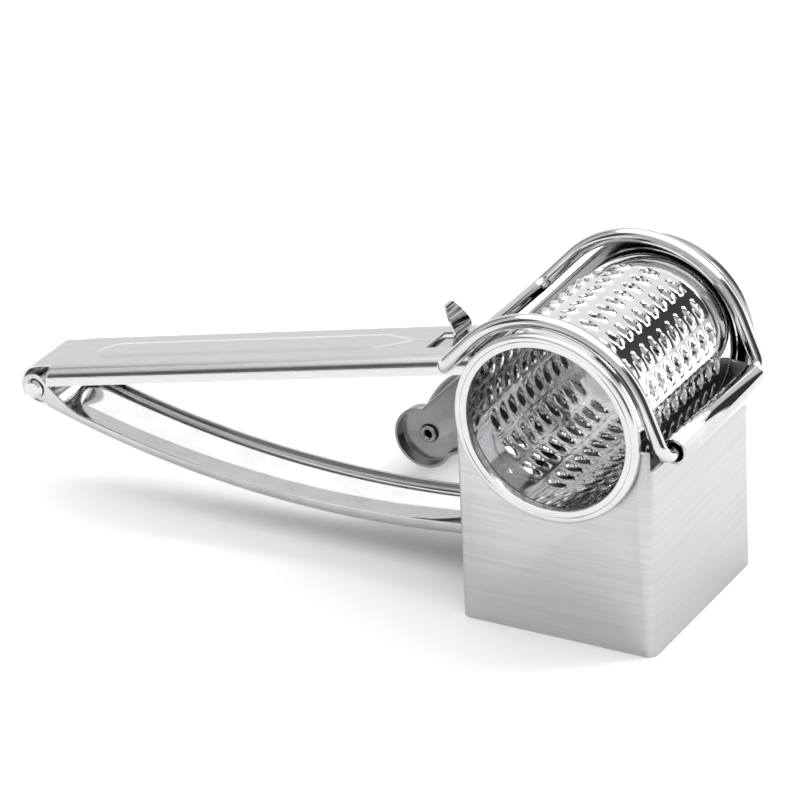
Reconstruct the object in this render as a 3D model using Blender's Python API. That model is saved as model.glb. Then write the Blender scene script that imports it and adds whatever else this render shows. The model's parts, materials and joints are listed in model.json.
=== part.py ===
"""Rotary cheese grater in stainless sheet, standing on the open mouth of its hopper.

Metres, +Z up. X runs from the handle's hinge (-) to the hopper (+), Y from the open end of
the drum (-) to the crank (+). The origin lies on the hopper's rim, under the middle of its
right-hand wall, in the plane that halves the two arms.
"""
import math

import bmesh
import bpy
from mathutils import Matrix, Vector

# ---- driving dimensions -------------------------------------------------------------------
GAP = 0.0003                 # between pieces that touch on the bench

WALL = 0.0012                # hopper sheet
BOX_WIDTH = 0.0578
BOX_DEPTH = 0.0600
BOX_HEIGHT = 0.0607
BOX_CORNER = 0.0025          # outer radius of the folded edges

DRUM_RADIUS = 0.0240         # outside of the barrel
DRUM_WALL = 0.0006
DRUM_RISE = 0.0025           # drum axis above the hopper's top edge
SEAT_PLAY = 0.0003           # barrel to seat, radial
RING_FLANGE = 0.0030         # ring beyond the barrel
RING_THICK = 0.0025
RING_STANDOFF = 0.0005       # ring to front wall
TOOTH_ROWS = 9
TOOTH_COLUMNS = 18
TOOTH_PITCH = 0.0050         # along the drum
TOOTH_LENGTH = 0.0058        # round the drum
TOOTH_WIDTH = 0.0026
TOOTH_LIFT = 0.0010
PLAIN_BAND = 0.0080          # unpunched band behind the ring
CAP_THICK = 0.0010
HUB_RADIUS = 0.0080
BOLT_RADIUS = 0.0020
HOLE_PLAY = 0.0003           # bolts, pins and rivets in their holes, radial
RUN_PLAY = 0.00009           # pins that something turns on, radial

WIRE_RADIUS = 0.0020
WIRE_BEND = 0.0043
BAIL_FRONT_INSET = 0.0035    # front leg behind the front wall's outer face
BAIL_REAR_GAP = 0.0003       # rear leg behind the back wall's outer face
BAIL_ARC_RADIUS = 0.0305
BAIL_ARC_SHIFT_X = -0.0024   # arc centre from the drum axis
BAIL_ARC_SHIFT_Z = -0.0026
SLEEVE_BEND = 0.0032         # mid-sheet radius of the rolled sleeve
SLEEVE_SHEET = 0.0009
SLEEVE_DROP = 0.0027         # sleeve axis below the hopper's top edge
SLEEVE_PLAY = 0.0012         # sleeve's ends to the bends of the wire
NOTCH_DEPTH = 0.0062         # right wall lowered under the sleeve

ARM_SHEET = 0.0007
HANDLE_WIDTH = 0.0256        # outside the flanges
HANDLE_FLANGE = 0.0051
HANDLE_ROOT_Z = 0.0700       # top face at the hopper
HANDLE_SLOPE = 0.226         # fall per unit of length towards the hinge
HINGE_REACH = 0.1464         # hinge pin from the hopper's left face
ROLL_RADIUS = 0.0060         # outside of the rolled end
TONGUE_WIDTH = 0.0208        # rolled end and riveted foot
ROLL_END_DEG = 313.0
RIB_WIDTH = 0.0105
RIB_RISE = 0.0005
RIB_INSET_ROOT = 0.026       # rib's pointed end from the hopper
RIB_INSET_HINGE = 0.0155     # rib's round end from the hinge
FOOT_HEIGHT = 0.0165         # riveted foot below the handle's top face
RIVET_RADIUS = 0.0016
RIVET_HEAD = 0.0030
RIVET_CROWN = 0.0009

LEVER_PLAY = 0.00035         # lever's flanges inside the handle's
LEVER_FLANGE = 0.0053
LEVER_TOE = 0.0068           # curved base below the hinge pin's axis, at the pin
LEVER_LOW_X = 0.050          # lowest point from the hopper's left face
LEVER_LOW_Z = 0.0091
LEVER_INSIDE = 0.0150        # reach of the channel into the hopper
EAR_RADIUS = 0.0043
PIN_RADIUS = 0.0020
BUSHING_RADIUS = 0.0032
SLOT_PLAY = 0.0009           # lever in the hopper's slot, each side
SLOT_TOP = 0.0400

PRESSER_WIDTH = 0.0450       # along X
PRESSER_LENGTH = 0.0540      # along Y
PRESSER_SHEET = 0.0012
PRESSER_BOW = 0.0340
PRESSER_Z = 0.0212           # upper face at its lowest line
BRACKET_WIDTH = 0.0150
BRACKET_SHEET = 0.0012

CRANK_LENGTH = 0.0903
CRANK_ANGLE_DEG = 213.0      # from +X, in the XZ plane
CRANK_SHEET = 0.0009
CRANK_LIP = 0.0034
CRANK_HUB_LAP = 0.0030       # crank's disc beyond the barrel
CRANK_END_RADIUS = 0.0093
CRANK_NECK = 0.0064          # half width of the taper at the knob
CRANK_BAIL_GAP = 0.0003

KNOB_RADIUS = 0.0088
KNOB_LENGTH = 0.0230
KNOB_PIN_RADIUS = 0.0019

LATCH_SHEET = 0.0006
LATCH_WIDTH = 0.0090
LATCH_FOOT_X = 0.0138        # where it rises, from the hopper's left face
LATCH_NOSE_X = 0.0130
LATCH_NOSE_Z = 0.0704
LATCH_TIP_X = 0.0168
LATCH_TIP_Z = 0.0766
LATCH_STRAP = 0.0085         # welded strap beyond the window
WINDOW_FAR_X = 0.0215        # window in the handle, from the hopper's left face
WINDOW_NEAR_X = 0.0118
CROSSBAR_X = 0.0056          # bail's cross-bar from the hopper's left face

SIDES = 24                   # facets of turned pieces

# ---- derived places -------------------------------------------------------------------------
RIGHT_X = WALL / 2
LEFT_X = RIGHT_X - BOX_WIDTH
FRONT_Y = -BOX_DEPTH / 2
BACK_Y = BOX_DEPTH / 2
AXIS_X = LEFT_X + BOX_WIDTH / 2
AXIS_Z = BOX_HEIGHT + DRUM_RISE

BAIL_FRONT_Y = FRONT_Y + BAIL_FRONT_INSET
BAIL_REAR_Y = BACK_Y + BAIL_REAR_GAP + WIRE_RADIUS
PIVOT_X = RIGHT_X - WALL / 2 + SLEEVE_BEND
PIVOT_Z = BOX_HEIGHT - SLEEVE_DROP

RING_RADIUS = DRUM_RADIUS + RING_FLANGE
RING_BORE = DRUM_RADIUS - DRUM_WALL
CRANK_HUB_RADIUS = DRUM_RADIUS + CRANK_HUB_LAP
BARREL_FRONT_Y = FRONT_Y - RING_STANDOFF + GAP
CRANK_FRONT_Y = BAIL_REAR_Y + WIRE_RADIUS + CRANK_BAIL_GAP
CAP_BACK_Y = CRANK_FRONT_Y - GAP
CAP_FRONT_Y = CAP_BACK_Y - CAP_THICK
BARREL_BACK_Y = CAP_FRONT_Y - GAP
PLATE_FRONT_Y = CRANK_FRONT_Y + CRANK_LIP
PLATE_BACK_Y = PLATE_FRONT_Y + CRANK_SHEET
CRANK_ANGLE = math.radians(CRANK_ANGLE_DEG)
KNOB_X = AXIS_X + CRANK_LENGTH * math.cos(CRANK_ANGLE)
KNOB_Z = AXIS_Z + CRANK_LENGTH * math.sin(CRANK_ANGLE)

HANDLE_TILT = math.atan(HANDLE_SLOPE)
HINGE_X = LEFT_X - HINGE_REACH
HINGE_Z = (HANDLE_ROOT_Z - HANDLE_SLOPE * HINGE_REACH
           - ROLL_RADIUS / math.cos(HANDLE_TILT))
LEVER_WIDTH = HANDLE_WIDTH - 2 * ARM_SHEET - 2 * LEVER_PLAY
LEVER_RUN = HINGE_REACH - LEVER_LOW_X
LEVER_RISE = HINGE_Z - LEVER_TOE - LEVER_LOW_Z
LEVER_BOW = (LEVER_RUN ** 2 + LEVER_RISE ** 2) / (2 * LEVER_RISE)


def handle_top(x):
    """Height of the fixed handle's top face."""
    return HANDLE_ROOT_Z - HANDLE_SLOPE * (LEFT_X - x)


def lever_bottom(x):
    """Height of the lever's curved underside."""
    run = x - (LEFT_X - LEVER_LOW_X)
    return LEVER_LOW_Z + LEVER_BOW - math.sqrt(LEVER_BOW ** 2 - run ** 2)


CROSSBAR_POS_X = LEFT_X - CROSSBAR_X
CROSSBAR_Z = handle_top(CROSSBAR_POS_X) + (WIRE_RADIUS + GAP) / math.cos(HANDLE_TILT)

# ---- scene helpers --------------------------------------------------------------------------


def clear_scene():
    for item in list(bpy.data.objects):
        bpy.data.objects.remove(item, do_unlink=True)


def metal(name, shade, roughness):
    mat = bpy.data.materials.new(name)
    mat.use_nodes = True
    shader = mat.node_tree.nodes["Principled BSDF"]
    shader.inputs["Base Color"].default_value = (shade, shade, shade * 1.01, 1.0)
    shader.inputs["Metallic"].default_value = 1.0
    shader.inputs["Roughness"].default_value = roughness
    return mat


def place(name, bm, mat, pivot=(0, 0, 0), smooth=True):
    """Turn a bmesh in world coordinates into an object whose origin is the pivot."""
    mesh = bpy.data.meshes.new(name)
    bm.to_mesh(mesh)
    bm.free()
    mesh.transform(Matrix.Translation(-Vector(pivot)))
    if smooth:
        mesh.shade_smooth()
        mesh.set_sharp_from_angle(angle=math.radians(35))
    item = bpy.data.objects.new(name, mesh)
    item.location = pivot
    bpy.context.scene.collection.objects.link(item)
    mesh.materials.append(mat)
    return item


def ring_points(radius, start_deg, end_deg, steps):
    """Points (u, v) on an arc about the origin."""
    span = end_deg - start_deg
    angles = [math.radians(start_deg + span * i / steps) for i in range(steps + 1)]
    return [(radius * math.cos(a), radius * math.sin(a)) for a in angles]


def prism(outline, y_low, y_high):
    """Solid from an XZ outline, between two Y planes."""
    bm = bmesh.new()
    verts = [bm.verts.new((x, y_low, z)) for x, z in outline]
    face = bm.faces.new(verts)
    lifted = bmesh.ops.extrude_face_region(bm, geom=[face])["geom"]
    moved = [v for v in lifted if isinstance(v, bmesh.types.BMVert)]
    bmesh.ops.translate(bm, verts=moved, vec=(0, y_high - y_low, 0))
    bmesh.ops.recalc_face_normals(bm, faces=bm.faces)
    return bm


def block(low, high):
    """Axis-aligned solid."""
    bm = bmesh.new()
    bmesh.ops.create_cube(bm, size=1.0)
    size = Vector(high) - Vector(low)
    bmesh.ops.scale(bm, verts=bm.verts, vec=size)
    bmesh.ops.translate(bm, verts=bm.verts, vec=(Vector(high) + Vector(low)) / 2)
    return bm


def turned(profile, centre, axis="Y", sides=SIDES):
    """Solid turned from a closed or axis-to-axis profile of (radius, along) points."""
    bm = bmesh.new()
    verts = [bm.verts.new((r, along, 0)) for r, along in profile]
    on_axis = profile[0][0] == 0 and profile[-1][0] == 0
    edges = [bm.edges.new(pair) for pair in zip(verts, verts[1:])]
    if not on_axis:
        edges.append(bm.edges.new((verts[-1], verts[0])))
    bmesh.ops.spin(bm, geom=verts + edges, cent=(0, 0, 0), axis=(0, 1, 0),
                   angle=2 * math.pi, steps=sides, use_merge=True)
    bmesh.ops.remove_doubles(bm, verts=bm.verts, dist=1e-7)
    bmesh.ops.recalc_face_normals(bm, faces=bm.faces)
    if axis == "Z":
        bmesh.ops.rotate(bm, verts=bm.verts, cent=(0, 0, 0),
                         matrix=Matrix.Rotation(math.pi / 2, 3, "X"))
    if axis == "X":
        bmesh.ops.rotate(bm, verts=bm.verts, cent=(0, 0, 0),
                         matrix=Matrix.Rotation(-math.pi / 2, 3, "Z"))
    bmesh.ops.translate(bm, verts=bm.verts, vec=centre)
    return bm


def tube_profile(inner, outer, low, high):
    return [(inner, low), (outer, low), (outer, high), (inner, high)]


def grid_sheet(rows, skip=()):
    """Open sheet through rows of points; skip names (row, column) cells to leave out."""
    bm = bmesh.new()
    lines = [[bm.verts.new(p) for p in row] for row in rows]
    for i in range(len(lines) - 1):
        for j in range(len(lines[i]) - 1):
            if (i, j) not in skip:
                corners = (lines[i][j], lines[i][j + 1], lines[i + 1][j + 1], lines[i + 1][j])
                bm.faces.new(corners)
    loose = [v for v in bm.verts if not v.link_faces]
    bmesh.ops.delete(bm, geom=loose, context="VERTS")
    return bm


def thicken(item, thickness, offset):
    """Give an open sheet its thickness: offset 1 keeps it on the normal's side, -1 behind."""
    mod = item.modifiers.new("thickness", "SOLIDIFY")
    mod.thickness = thickness
    mod.offset = offset
    mod.use_even_offset = True
    return mod


def soften_folds(item, radius, segments=3):
    """Round the folds of an open sheet."""
    mod = item.modifiers.new("folds", "BEVEL")
    mod.width = radius
    mod.segments = segments
    mod.limit_method = "ANGLE"
    mod.angle_limit = math.radians(50)
    return mod


def cut(item, name, bm, operation="DIFFERENCE"):
    """Boolean with a hidden helper solid."""
    mesh = bpy.data.meshes.new(name)
    bm.to_mesh(mesh)
    bm.free()
    helper = bpy.data.objects.new(name, mesh)
    helper.hide_render = True
    helper.display_type = "WIRE"
    bpy.context.scene.collection.objects.link(helper)
    mod = item.modifiers.new(name, "BOOLEAN")
    mod.operation = operation
    mod.object = helper
    return helper


def drill(centre, axis, radius, reach, tilt=0.0):
    """Cutter for a round hole; tilt turns it about Y."""
    profile = [(0, -reach), (radius, -reach), (radius, reach), (0, reach)]
    bm = turned(profile, (0, 0, 0), axis, sides=20)
    bmesh.ops.rotate(bm, verts=bm.verts, cent=(0, 0, 0), matrix=Matrix.Rotation(tilt, 3, "Y"))
    bmesh.ops.translate(bm, verts=bm.verts, vec=centre)
    return bm


def rivet(name, start, axis, grip, mat, pivot=(0, 0, 0), tilt=0.0):
    """Rivet with a crowned head at each end of its grip; start is the near sheet's face."""
    crown = [(RIVET_HEAD * math.cos(a), RIVET_CROWN * math.sin(a))
             for a in (0.0, 0.55, 1.05)]
    near = [(r, -GAP - h) for r, h in reversed(crown)]
    far = [(r, grip + GAP + h) for r, h in crown]
    shank = [(RIVET_RADIUS, -GAP), (RIVET_RADIUS, grip + GAP)]
    profile = [(0, -GAP - RIVET_CROWN)] + near + shank + far + [(0, grip + GAP + RIVET_CROWN)]
    bm = turned(profile, (0, 0, 0), axis, sides=16)
    bmesh.ops.rotate(bm, verts=bm.verts, cent=(0, 0, 0), matrix=Matrix.Rotation(tilt, 3, "Y"))
    bmesh.ops.translate(bm, verts=bm.verts, vec=start)
    return place(name, bm, mat, pivot)


# ---- hopper ---------------------------------------------------------------------------------


def rounded_square(inset, z):
    """Corner arcs of the hopper's plan, moved inwards by inset."""
    radius = max(BOX_CORNER - inset, 0.0004)
    points = []
    corners = ((RIGHT_X, BACK_Y, 0), (LEFT_X, BACK_Y, 90), (LEFT_X, FRONT_Y, 180),
               (RIGHT_X, FRONT_Y, 270))
    for x, y, start in corners:
        side_x = 1 if x == RIGHT_X else -1
        side_y = 1 if y == BACK_Y else -1
        centre = (x - side_x * (inset + radius), y - side_y * (inset + radius))
        for u, v in ring_points(radius, start, start + 90, 4):
            points.append((centre[0] + u, centre[1] + v, z))
    return points


def hopper_box(mat):
    bm = bmesh.new()
    outer = [bm.verts.new(p) for p in rounded_square(0, 0)]
    inner = [bm.verts.new(p) for p in rounded_square(WALL, 0)]
    count = len(outer)
    for i in range(count):
        j = (i + 1) % count
        bm.faces.new((outer[i], outer[j], inner[j], inner[i]))
    lifted = bmesh.ops.extrude_face_region(bm, geom=bm.faces[:])["geom"]
    moved = [v for v in lifted if isinstance(v, bmesh.types.BMVert)]
    bmesh.ops.translate(bm, verts=moved, vec=(0, 0, BOX_HEIGHT))
    bmesh.ops.recalc_face_normals(bm, faces=bm.faces)
    box = place("hopper_box", bm, mat)

    tab_top = handle_top(LEFT_X) - ARM_SHEET - GAP
    tab = block((LEFT_X, -TONGUE_WIDTH / 2, BOX_HEIGHT - 0.004),
                (LEFT_X + WALL, TONGUE_WIDTH / 2, tab_top))
    cut(box, "tab_shape", tab, "UNION")
    seat = turned([(0, 2 * FRONT_Y), (DRUM_RADIUS + SEAT_PLAY, 2 * FRONT_Y),
                   (DRUM_RADIUS + SEAT_PLAY, 2 * BACK_Y), (0, 2 * BACK_Y)],
                  (AXIS_X, 0, AXIS_Z), sides=64)
    cut(box, "seat_shape", seat)
    slot_half = LEVER_WIDTH / 2 + SLOT_PLAY
    slot = block((LEFT_X - 0.005, -slot_half, -0.005), (LEFT_X + 0.005, slot_half, SLOT_TOP))
    cut(box, "slot_shape", slot)
    notch = block((RIGHT_X - 0.004, FRONT_Y + WALL, BOX_HEIGHT - NOTCH_DEPTH),
                  (RIGHT_X + 0.004, BACK_Y - WALL, BOX_HEIGHT + 0.004))
    cut(box, "notch_shape", notch)
    for side, y in rivet_sides():
        hole = drill((LEFT_X, y, rivet_height()), "X", RIVET_RADIUS + HOLE_PLAY, 0.003)
        cut(box, "wall_hole_" + side, hole)
    return box


def rivet_sides():
    spread = TONGUE_WIDTH / 2 - 0.0044
    return (("front", -spread), ("rear", spread))


def rivet_height():
    return handle_top(LEFT_X) - FOOT_HEIGHT + 0.0045


def sleeve_ends():
    low = BAIL_FRONT_Y + WIRE_BEND + SLEEVE_PLAY
    high = BAIL_REAR_Y - WIRE_BEND - SLEEVE_PLAY / 2
    return low, high


def bail_sleeve(mat):
    low, high = sleeve_ends()
    foot_z = BOX_HEIGHT - NOTCH_DEPTH + GAP
    section = [(PIVOT_X - SLEEVE_BEND, foot_z)]
    for u, v in ring_points(SLEEVE_BEND, 180, -130, 18):
        section.append((PIVOT_X + u, PIVOT_Z + v))
    rows = [[(x, y, z) for x, z in section] for y in (low, high)]
    item = place("bail_sleeve", grid_sheet(rows), mat)
    thicken(item, SLEEVE_SHEET, 0.0)
    return item


# ---- bail -----------------------------------------------------------------------------------


def tangent_angle(point, centre, radius, turn):
    """Polar angle on the arc where the straight from point meets it; turn is +1 or -1."""
    run = Vector(point) - Vector(centre)
    return math.atan2(run.y, run.x) + turn * math.acos(radius / run.length)


def rounded_loop(corners, radius, steps):
    """Closed path whose flagged corners become arcs; corners are (point, is_sharp)."""
    path = []
    count = len(corners)
    for i, (point, sharp) in enumerate(corners):
        if not sharp:
            path.append(point)
            continue
        before = (corners[i - 1][0] - point).normalized()
        after = (corners[(i + 1) % count][0] - point).normalized()
        half = before.angle(after) / 2
        reach = radius / math.tan(half)
        centre = point + (before + after).normalized() * radius / math.sin(half)
        start = point + before * reach - centre
        end = point + after * reach - centre
        span = start.angle(end)
        for k in range(steps + 1):
            share = math.sin(span * k / steps) / math.sin(span)
            rest = math.sin(span * (1 - k / steps)) / math.sin(span)
            path.append(centre + start * rest + end * share)
    return path


def bail_path():
    centre = (AXIS_X + BAIL_ARC_SHIFT_X, AXIS_Z + BAIL_ARC_SHIFT_Z)
    right = tangent_angle((PIVOT_X, PIVOT_Z), centre, BAIL_ARC_RADIUS, 1)
    left = tangent_angle((CROSSBAR_POS_X, CROSSBAR_Z), centre, BAIL_ARC_RADIUS, -1)
    arc = [(centre[0] + u, centre[1] + v) for u, v in
           ring_points(BAIL_ARC_RADIUS, math.degrees(right), math.degrees(left), 18)]
    rear = [(Vector((x, BAIL_REAR_Y, z)), False) for x, z in arc]
    front = [(Vector((x, BAIL_FRONT_Y, z)), False) for x, z in reversed(arc)]
    pins = [(Vector((PIVOT_X, y, PIVOT_Z)), True) for y in (BAIL_FRONT_Y, BAIL_REAR_Y)]
    bar = [(Vector((CROSSBAR_POS_X, y, CROSSBAR_Z)), True) for y in (BAIL_REAR_Y, BAIL_FRONT_Y)]
    return rounded_loop(pins + rear + bar + front, WIRE_BEND, 5)


def swept_loop(path, radius, sides):
    """Round wire along a closed path, with its seam untwisted."""
    count = len(path)
    tangents = [(path[(i + 1) % count] - path[i - 1]).normalized() for i in range(count)]
    normal = tangents[0].orthogonal().normalized()
    normals = [normal]
    for i in range(1, count + 1):
        turn = tangents[i - 1].rotation_difference(tangents[i % count])
        normal = turn @ normal
        normals.append(normal)
    first, last = normals[0], normals[count]
    twist = math.atan2(last.cross(first).dot(tangents[0]), last.dot(first))
    bm = bmesh.new()
    rings = []
    for i in range(count):
        spin = Matrix.Rotation(twist * i / count, 3, tangents[i])
        side = spin @ normals[i]
        rise = tangents[i].cross(side)
        rings.append([bm.verts.new(path[i] + (side * u + rise * v))
                      for u, v in ring_points(radius, 0, 360, sides)[:-1]])
    for i in range(count):
        ring, following = rings[i], rings[(i + 1) % count]
        for j in range(sides):
            k = (j + 1) % sides
            bm.faces.new((ring[j], ring[k], following[k], following[j]))
    bmesh.ops.recalc_face_normals(bm, faces=bm.faces)
    return bm


def wire_bail(mat):
    bm = swept_loop(bail_path(), WIRE_RADIUS, 10)
    return place("wire_bail", bm, mat, (PIVOT_X, 0, PIVOT_Z))


# ---- drum -----------------------------------------------------------------------------------


def drum_pivot():
    return (AXIS_X, 0, AXIS_Z)


def barrel_stations():
    """Y of each ring of points: plain band, rows of teeth, plain band."""
    first = FRONT_Y + PLAIN_BAND
    teeth = [first + TOOTH_PITCH * i for i in range(TOOTH_ROWS + 1)]
    return [BARREL_FRONT_Y] + teeth + [BARREL_BACK_Y]


def drum_barrel(mat):
    stations = barrel_stations()
    rows = []
    for y in stations:
        turns = [2 * math.pi * (k - 0.5) / TOOTH_COLUMNS for k in range(TOOTH_COLUMNS)]
        rows.append([(DRUM_RADIUS * math.cos(a), y, DRUM_RADIUS * math.sin(a)) for a in turns])
    bm = bmesh.new()
    rings = [[bm.verts.new(p) for p in row] for row in rows]
    cells = []
    for i in range(len(rings) - 1):
        for k in range(TOOTH_COLUMNS):
            n = (k + 1) % TOOTH_COLUMNS
            face = bm.faces.new((rings[i][k], rings[i][n], rings[i + 1][n], rings[i + 1][k]))
            if 0 < i < len(rings) - 2:
                cells.append(face)
    bmesh.ops.recalc_face_normals(bm, faces=bm.faces)
    bmesh.ops.inset_individual(bm, faces=cells, thickness=TOOTH_WIDTH / 4)
    for face in cells:
        shape_tooth(face)
    bmesh.ops.delete(bm, geom=cells, context="FACES_ONLY")
    bmesh.ops.translate(bm, verts=bm.verts, vec=drum_pivot())
    item = place("drum_barrel", bm, mat, drum_pivot(), smooth=False)
    thicken(item, DRUM_WALL, -1.0)
    return item


def shape_tooth(face):
    """Size the punched opening and lift its cutting edge."""
    middle = face.calc_center_median()
    around = Vector((0, 1, 0)).cross(middle).normalized()
    outward = Vector((middle.x, 0, middle.z)).normalized()
    for vert in face.verts:
        step = vert.co - middle
        side_around = 1 if step.dot(around) > 0 else -1
        side_along = 1 if step.y > 0 else -1
        vert.co = (middle + around * side_around * TOOTH_LENGTH / 2
                   + Vector((0, side_along * TOOTH_WIDTH / 2, 0)))
        if side_around > 0:
            vert.co += outward * TOOTH_LIFT


def drum_front_ring(mat):
    back = FRONT_Y - RING_STANDOFF
    front = back - RING_THICK
    edge = RING_THICK * 0.35
    profile = [(RING_BORE, back), (RING_BORE, front + edge / 2), (RING_BORE + edge / 2, front),
               (RING_RADIUS - edge, front), (RING_RADIUS - edge / 3, front + edge / 3),
               (RING_RADIUS, front + edge), (RING_RADIUS, back)]
    return place("drum_front_ring", turned(profile, drum_pivot(), sides=48), mat, drum_pivot())


def drum_rear_cap(mat):
    bore = BOLT_RADIUS + HOLE_PLAY
    profile = tube_profile(bore, DRUM_RADIUS, CAP_FRONT_Y, CAP_BACK_Y)
    return place("drum_rear_cap", turned(profile, drum_pivot(), sides=40), mat, drum_pivot())


def hub_spacer(mat):
    bore = BOLT_RADIUS + HOLE_PLAY
    profile = tube_profile(bore, HUB_RADIUS, CAP_BACK_Y + GAP, PLATE_FRONT_Y - GAP)
    return place("hub_spacer", turned(profile, drum_pivot()), mat, drum_pivot())


def hub_bolt(mat):
    head = BOLT_RADIUS * 2.1
    seat = PLATE_BACK_Y + GAP
    tip = CAP_FRONT_Y - 0.0040
    crown = [(head * math.cos(a), seat + 0.0012 + 0.0010 * math.sin(a))
             for a in (0.0, 0.6, 1.1)]
    profile = ([(0, tip), (BOLT_RADIUS * 0.75, tip), (BOLT_RADIUS, tip + 0.0005),
                (BOLT_RADIUS, seat), (head, seat)] + crown + [(0, seat + 0.0022)])
    return place("hub_bolt", turned(profile, drum_pivot(), sides=24), mat, drum_pivot())


def hub_nut(mat):
    bore = BOLT_RADIUS + GAP
    high = CAP_FRONT_Y - GAP
    low = high - 0.0026
    outer = [(AXIS_X + u, AXIS_Z + v) for u, v in ring_points(0.0040, 0, 360, 6)[:-1]]
    item = place("hub_nut", prism(outer, low, high), mat, drum_pivot(), smooth=False)
    cut(item, "nut_hole", drill((AXIS_X, (low + high) / 2, AXIS_Z), "Y", bore, 0.01))
    return item


# ---- crank and knob -------------------------------------------------------------------------


def crank_outline():
    """Teardrop about the drum axis with a small round end; first point on its +X side."""
    length = CRANK_LENGTH
    taper = math.asin((CRANK_HUB_RADIUS - CRANK_NECK) / length)
    hub_start = 90 - math.degrees(taper)
    hub = ring_points(CRANK_HUB_RADIUS, hub_start, 360 - hub_start, 20)
    neck_reach = math.sqrt(CRANK_END_RADIUS ** 2 - CRANK_NECK ** 2)
    neck_deg = math.degrees(math.atan2(CRANK_NECK, -neck_reach)) - math.degrees(taper)
    end = [(length + u, v) for u, v in
           ring_points(CRANK_END_RADIUS, -neck_deg, neck_deg, 16)]
    local = hub + end
    turn = CRANK_ANGLE
    return [(AXIS_X + u * math.cos(turn) - v * math.sin(turn),
             AXIS_Z + u * math.sin(turn) + v * math.cos(turn)) for u, v in local]


def crank_arm(mat):
    bm = prism(crank_outline(), CRANK_FRONT_Y, PLATE_BACK_Y)
    front = min(bm.faces, key=lambda f: f.calc_center_median().y)
    bmesh.ops.inset_region(bm, faces=[front], thickness=CRANK_SHEET, use_even_offset=True)
    lifted = bmesh.ops.extrude_face_region(bm, geom=[front])["geom"]
    moved = [v for v in lifted if isinstance(v, bmesh.types.BMVert)]
    bmesh.ops.translate(bm, verts=moved, vec=(0, CRANK_LIP, 0))
    if front.is_valid:
        bmesh.ops.delete(bm, geom=[front], context="FACES_ONLY")
    bmesh.ops.recalc_face_normals(bm, faces=bm.faces)
    item = place("crank_arm", bm, mat, drum_pivot())
    for name, x, z, radius in (("crank_hub_hole", AXIS_X, AXIS_Z, BOLT_RADIUS),
                               ("crank_knob_hole", KNOB_X, KNOB_Z, KNOB_PIN_RADIUS)):
        cut(item, name, drill((x, PLATE_FRONT_Y, z), "Y", radius + HOLE_PLAY, 0.003))
    return item


def knob_pivot():
    return (KNOB_X, 0, KNOB_Z)


def knob_pin(mat):
    """Hollow rivet: flared in the dish, headed in the knob's counterbore."""
    near = PLATE_FRONT_Y - GAP
    far = knob_back() - knob_counterbore() + GAP
    hollow = KNOB_PIN_RADIUS * 0.55
    profile = [(0, near + 0.004), (hollow, near + 0.004), (hollow, near - 0.0004),
               (hollow + 0.0003, near - 0.0007), (0.0030, near - 0.0006), (0.0032, near),
               (KNOB_PIN_RADIUS, near), (KNOB_PIN_RADIUS, far), (0.0033, far),
               (0.0033, far + 0.0010), (0, far + 0.0010)]
    return place("knob_pin", turned(profile, knob_pivot(), sides=24), mat, drum_pivot())


def knob_washer(mat):
    bore = KNOB_PIN_RADIUS + HOLE_PLAY
    profile = tube_profile(bore, 0.0050, PLATE_BACK_Y + GAP, PLATE_BACK_Y + GAP + 0.0008)
    return place("knob_washer", turned(profile, knob_pivot(), sides=24), mat, drum_pivot())


def knob_front():
    return PLATE_BACK_Y + 2 * GAP + 0.0008


def knob_back():
    return knob_front() + KNOB_LENGTH


def knob_counterbore():
    return 0.0045


def knob(mat):
    front, back = knob_front(), knob_back()
    bore = KNOB_PIN_RADIUS + RUN_PLAY
    cup = 0.0040
    waist = KNOB_RADIUS * 0.72
    seat = back - knob_counterbore()
    profile = [(bore, front), (KNOB_RADIUS * 0.62, front), (KNOB_RADIUS * 0.70, front + 0.0008)]
    for i in range(1, 5):
        t = i / 5
        swell = waist + (KNOB_RADIUS - waist) * math.sin(math.pi / 2 * t) ** 2
        profile.append((swell, front + 0.0008 + (KNOB_LENGTH - 0.0048) * t))
    for u, v in ring_points(0.0040, 0, 80, 4):
        profile.append((KNOB_RADIUS - 0.0040 + u, back - 0.0040 + v))
    profile += [(cup, back - 0.0002), (cup, seat), (bore, seat)]
    return place("knob", turned(profile, knob_pivot(), sides=24), mat, knob_pivot())


def knob_cap(mat):
    back = knob_back()
    radius = 0.0040 - GAP
    profile = [(0, back - 0.0022), (radius, back - 0.0022), (radius, back - 0.0004),
               (radius * 0.6, back), (0, back + 0.0001)]
    return place("knob_cap", turned(profile, knob_pivot(), sides=24), mat, knob_pivot())


# ---- fixed handle ---------------------------------------------------------------------------


def handle_section(x, rib):
    """Row of points across the handle at x: flange, top with its rib, flange."""
    half = HANDLE_WIDTH / 2
    top = handle_top(x)
    rise = top + RIB_RISE * (1 if rib > 0 else 0)
    rib_half = max(RIB_WIDTH / 2 * rib, 0.0004)
    edge = rib_half + 0.0007
    drop = HANDLE_FLANGE / math.cos(HANDLE_TILT)
    lane = TONGUE_WIDTH / 2
    return [(x, -half, top - drop), (x, -half, top), (x, -lane, top), (x, -edge, top),
            (x, -rib_half, rise), (x, rib_half, rise), (x, edge, top), (x, lane, top),
            (x, half, top), (x, half, top - drop)]


def roll_centre():
    return HINGE_X, HINGE_Z


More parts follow.
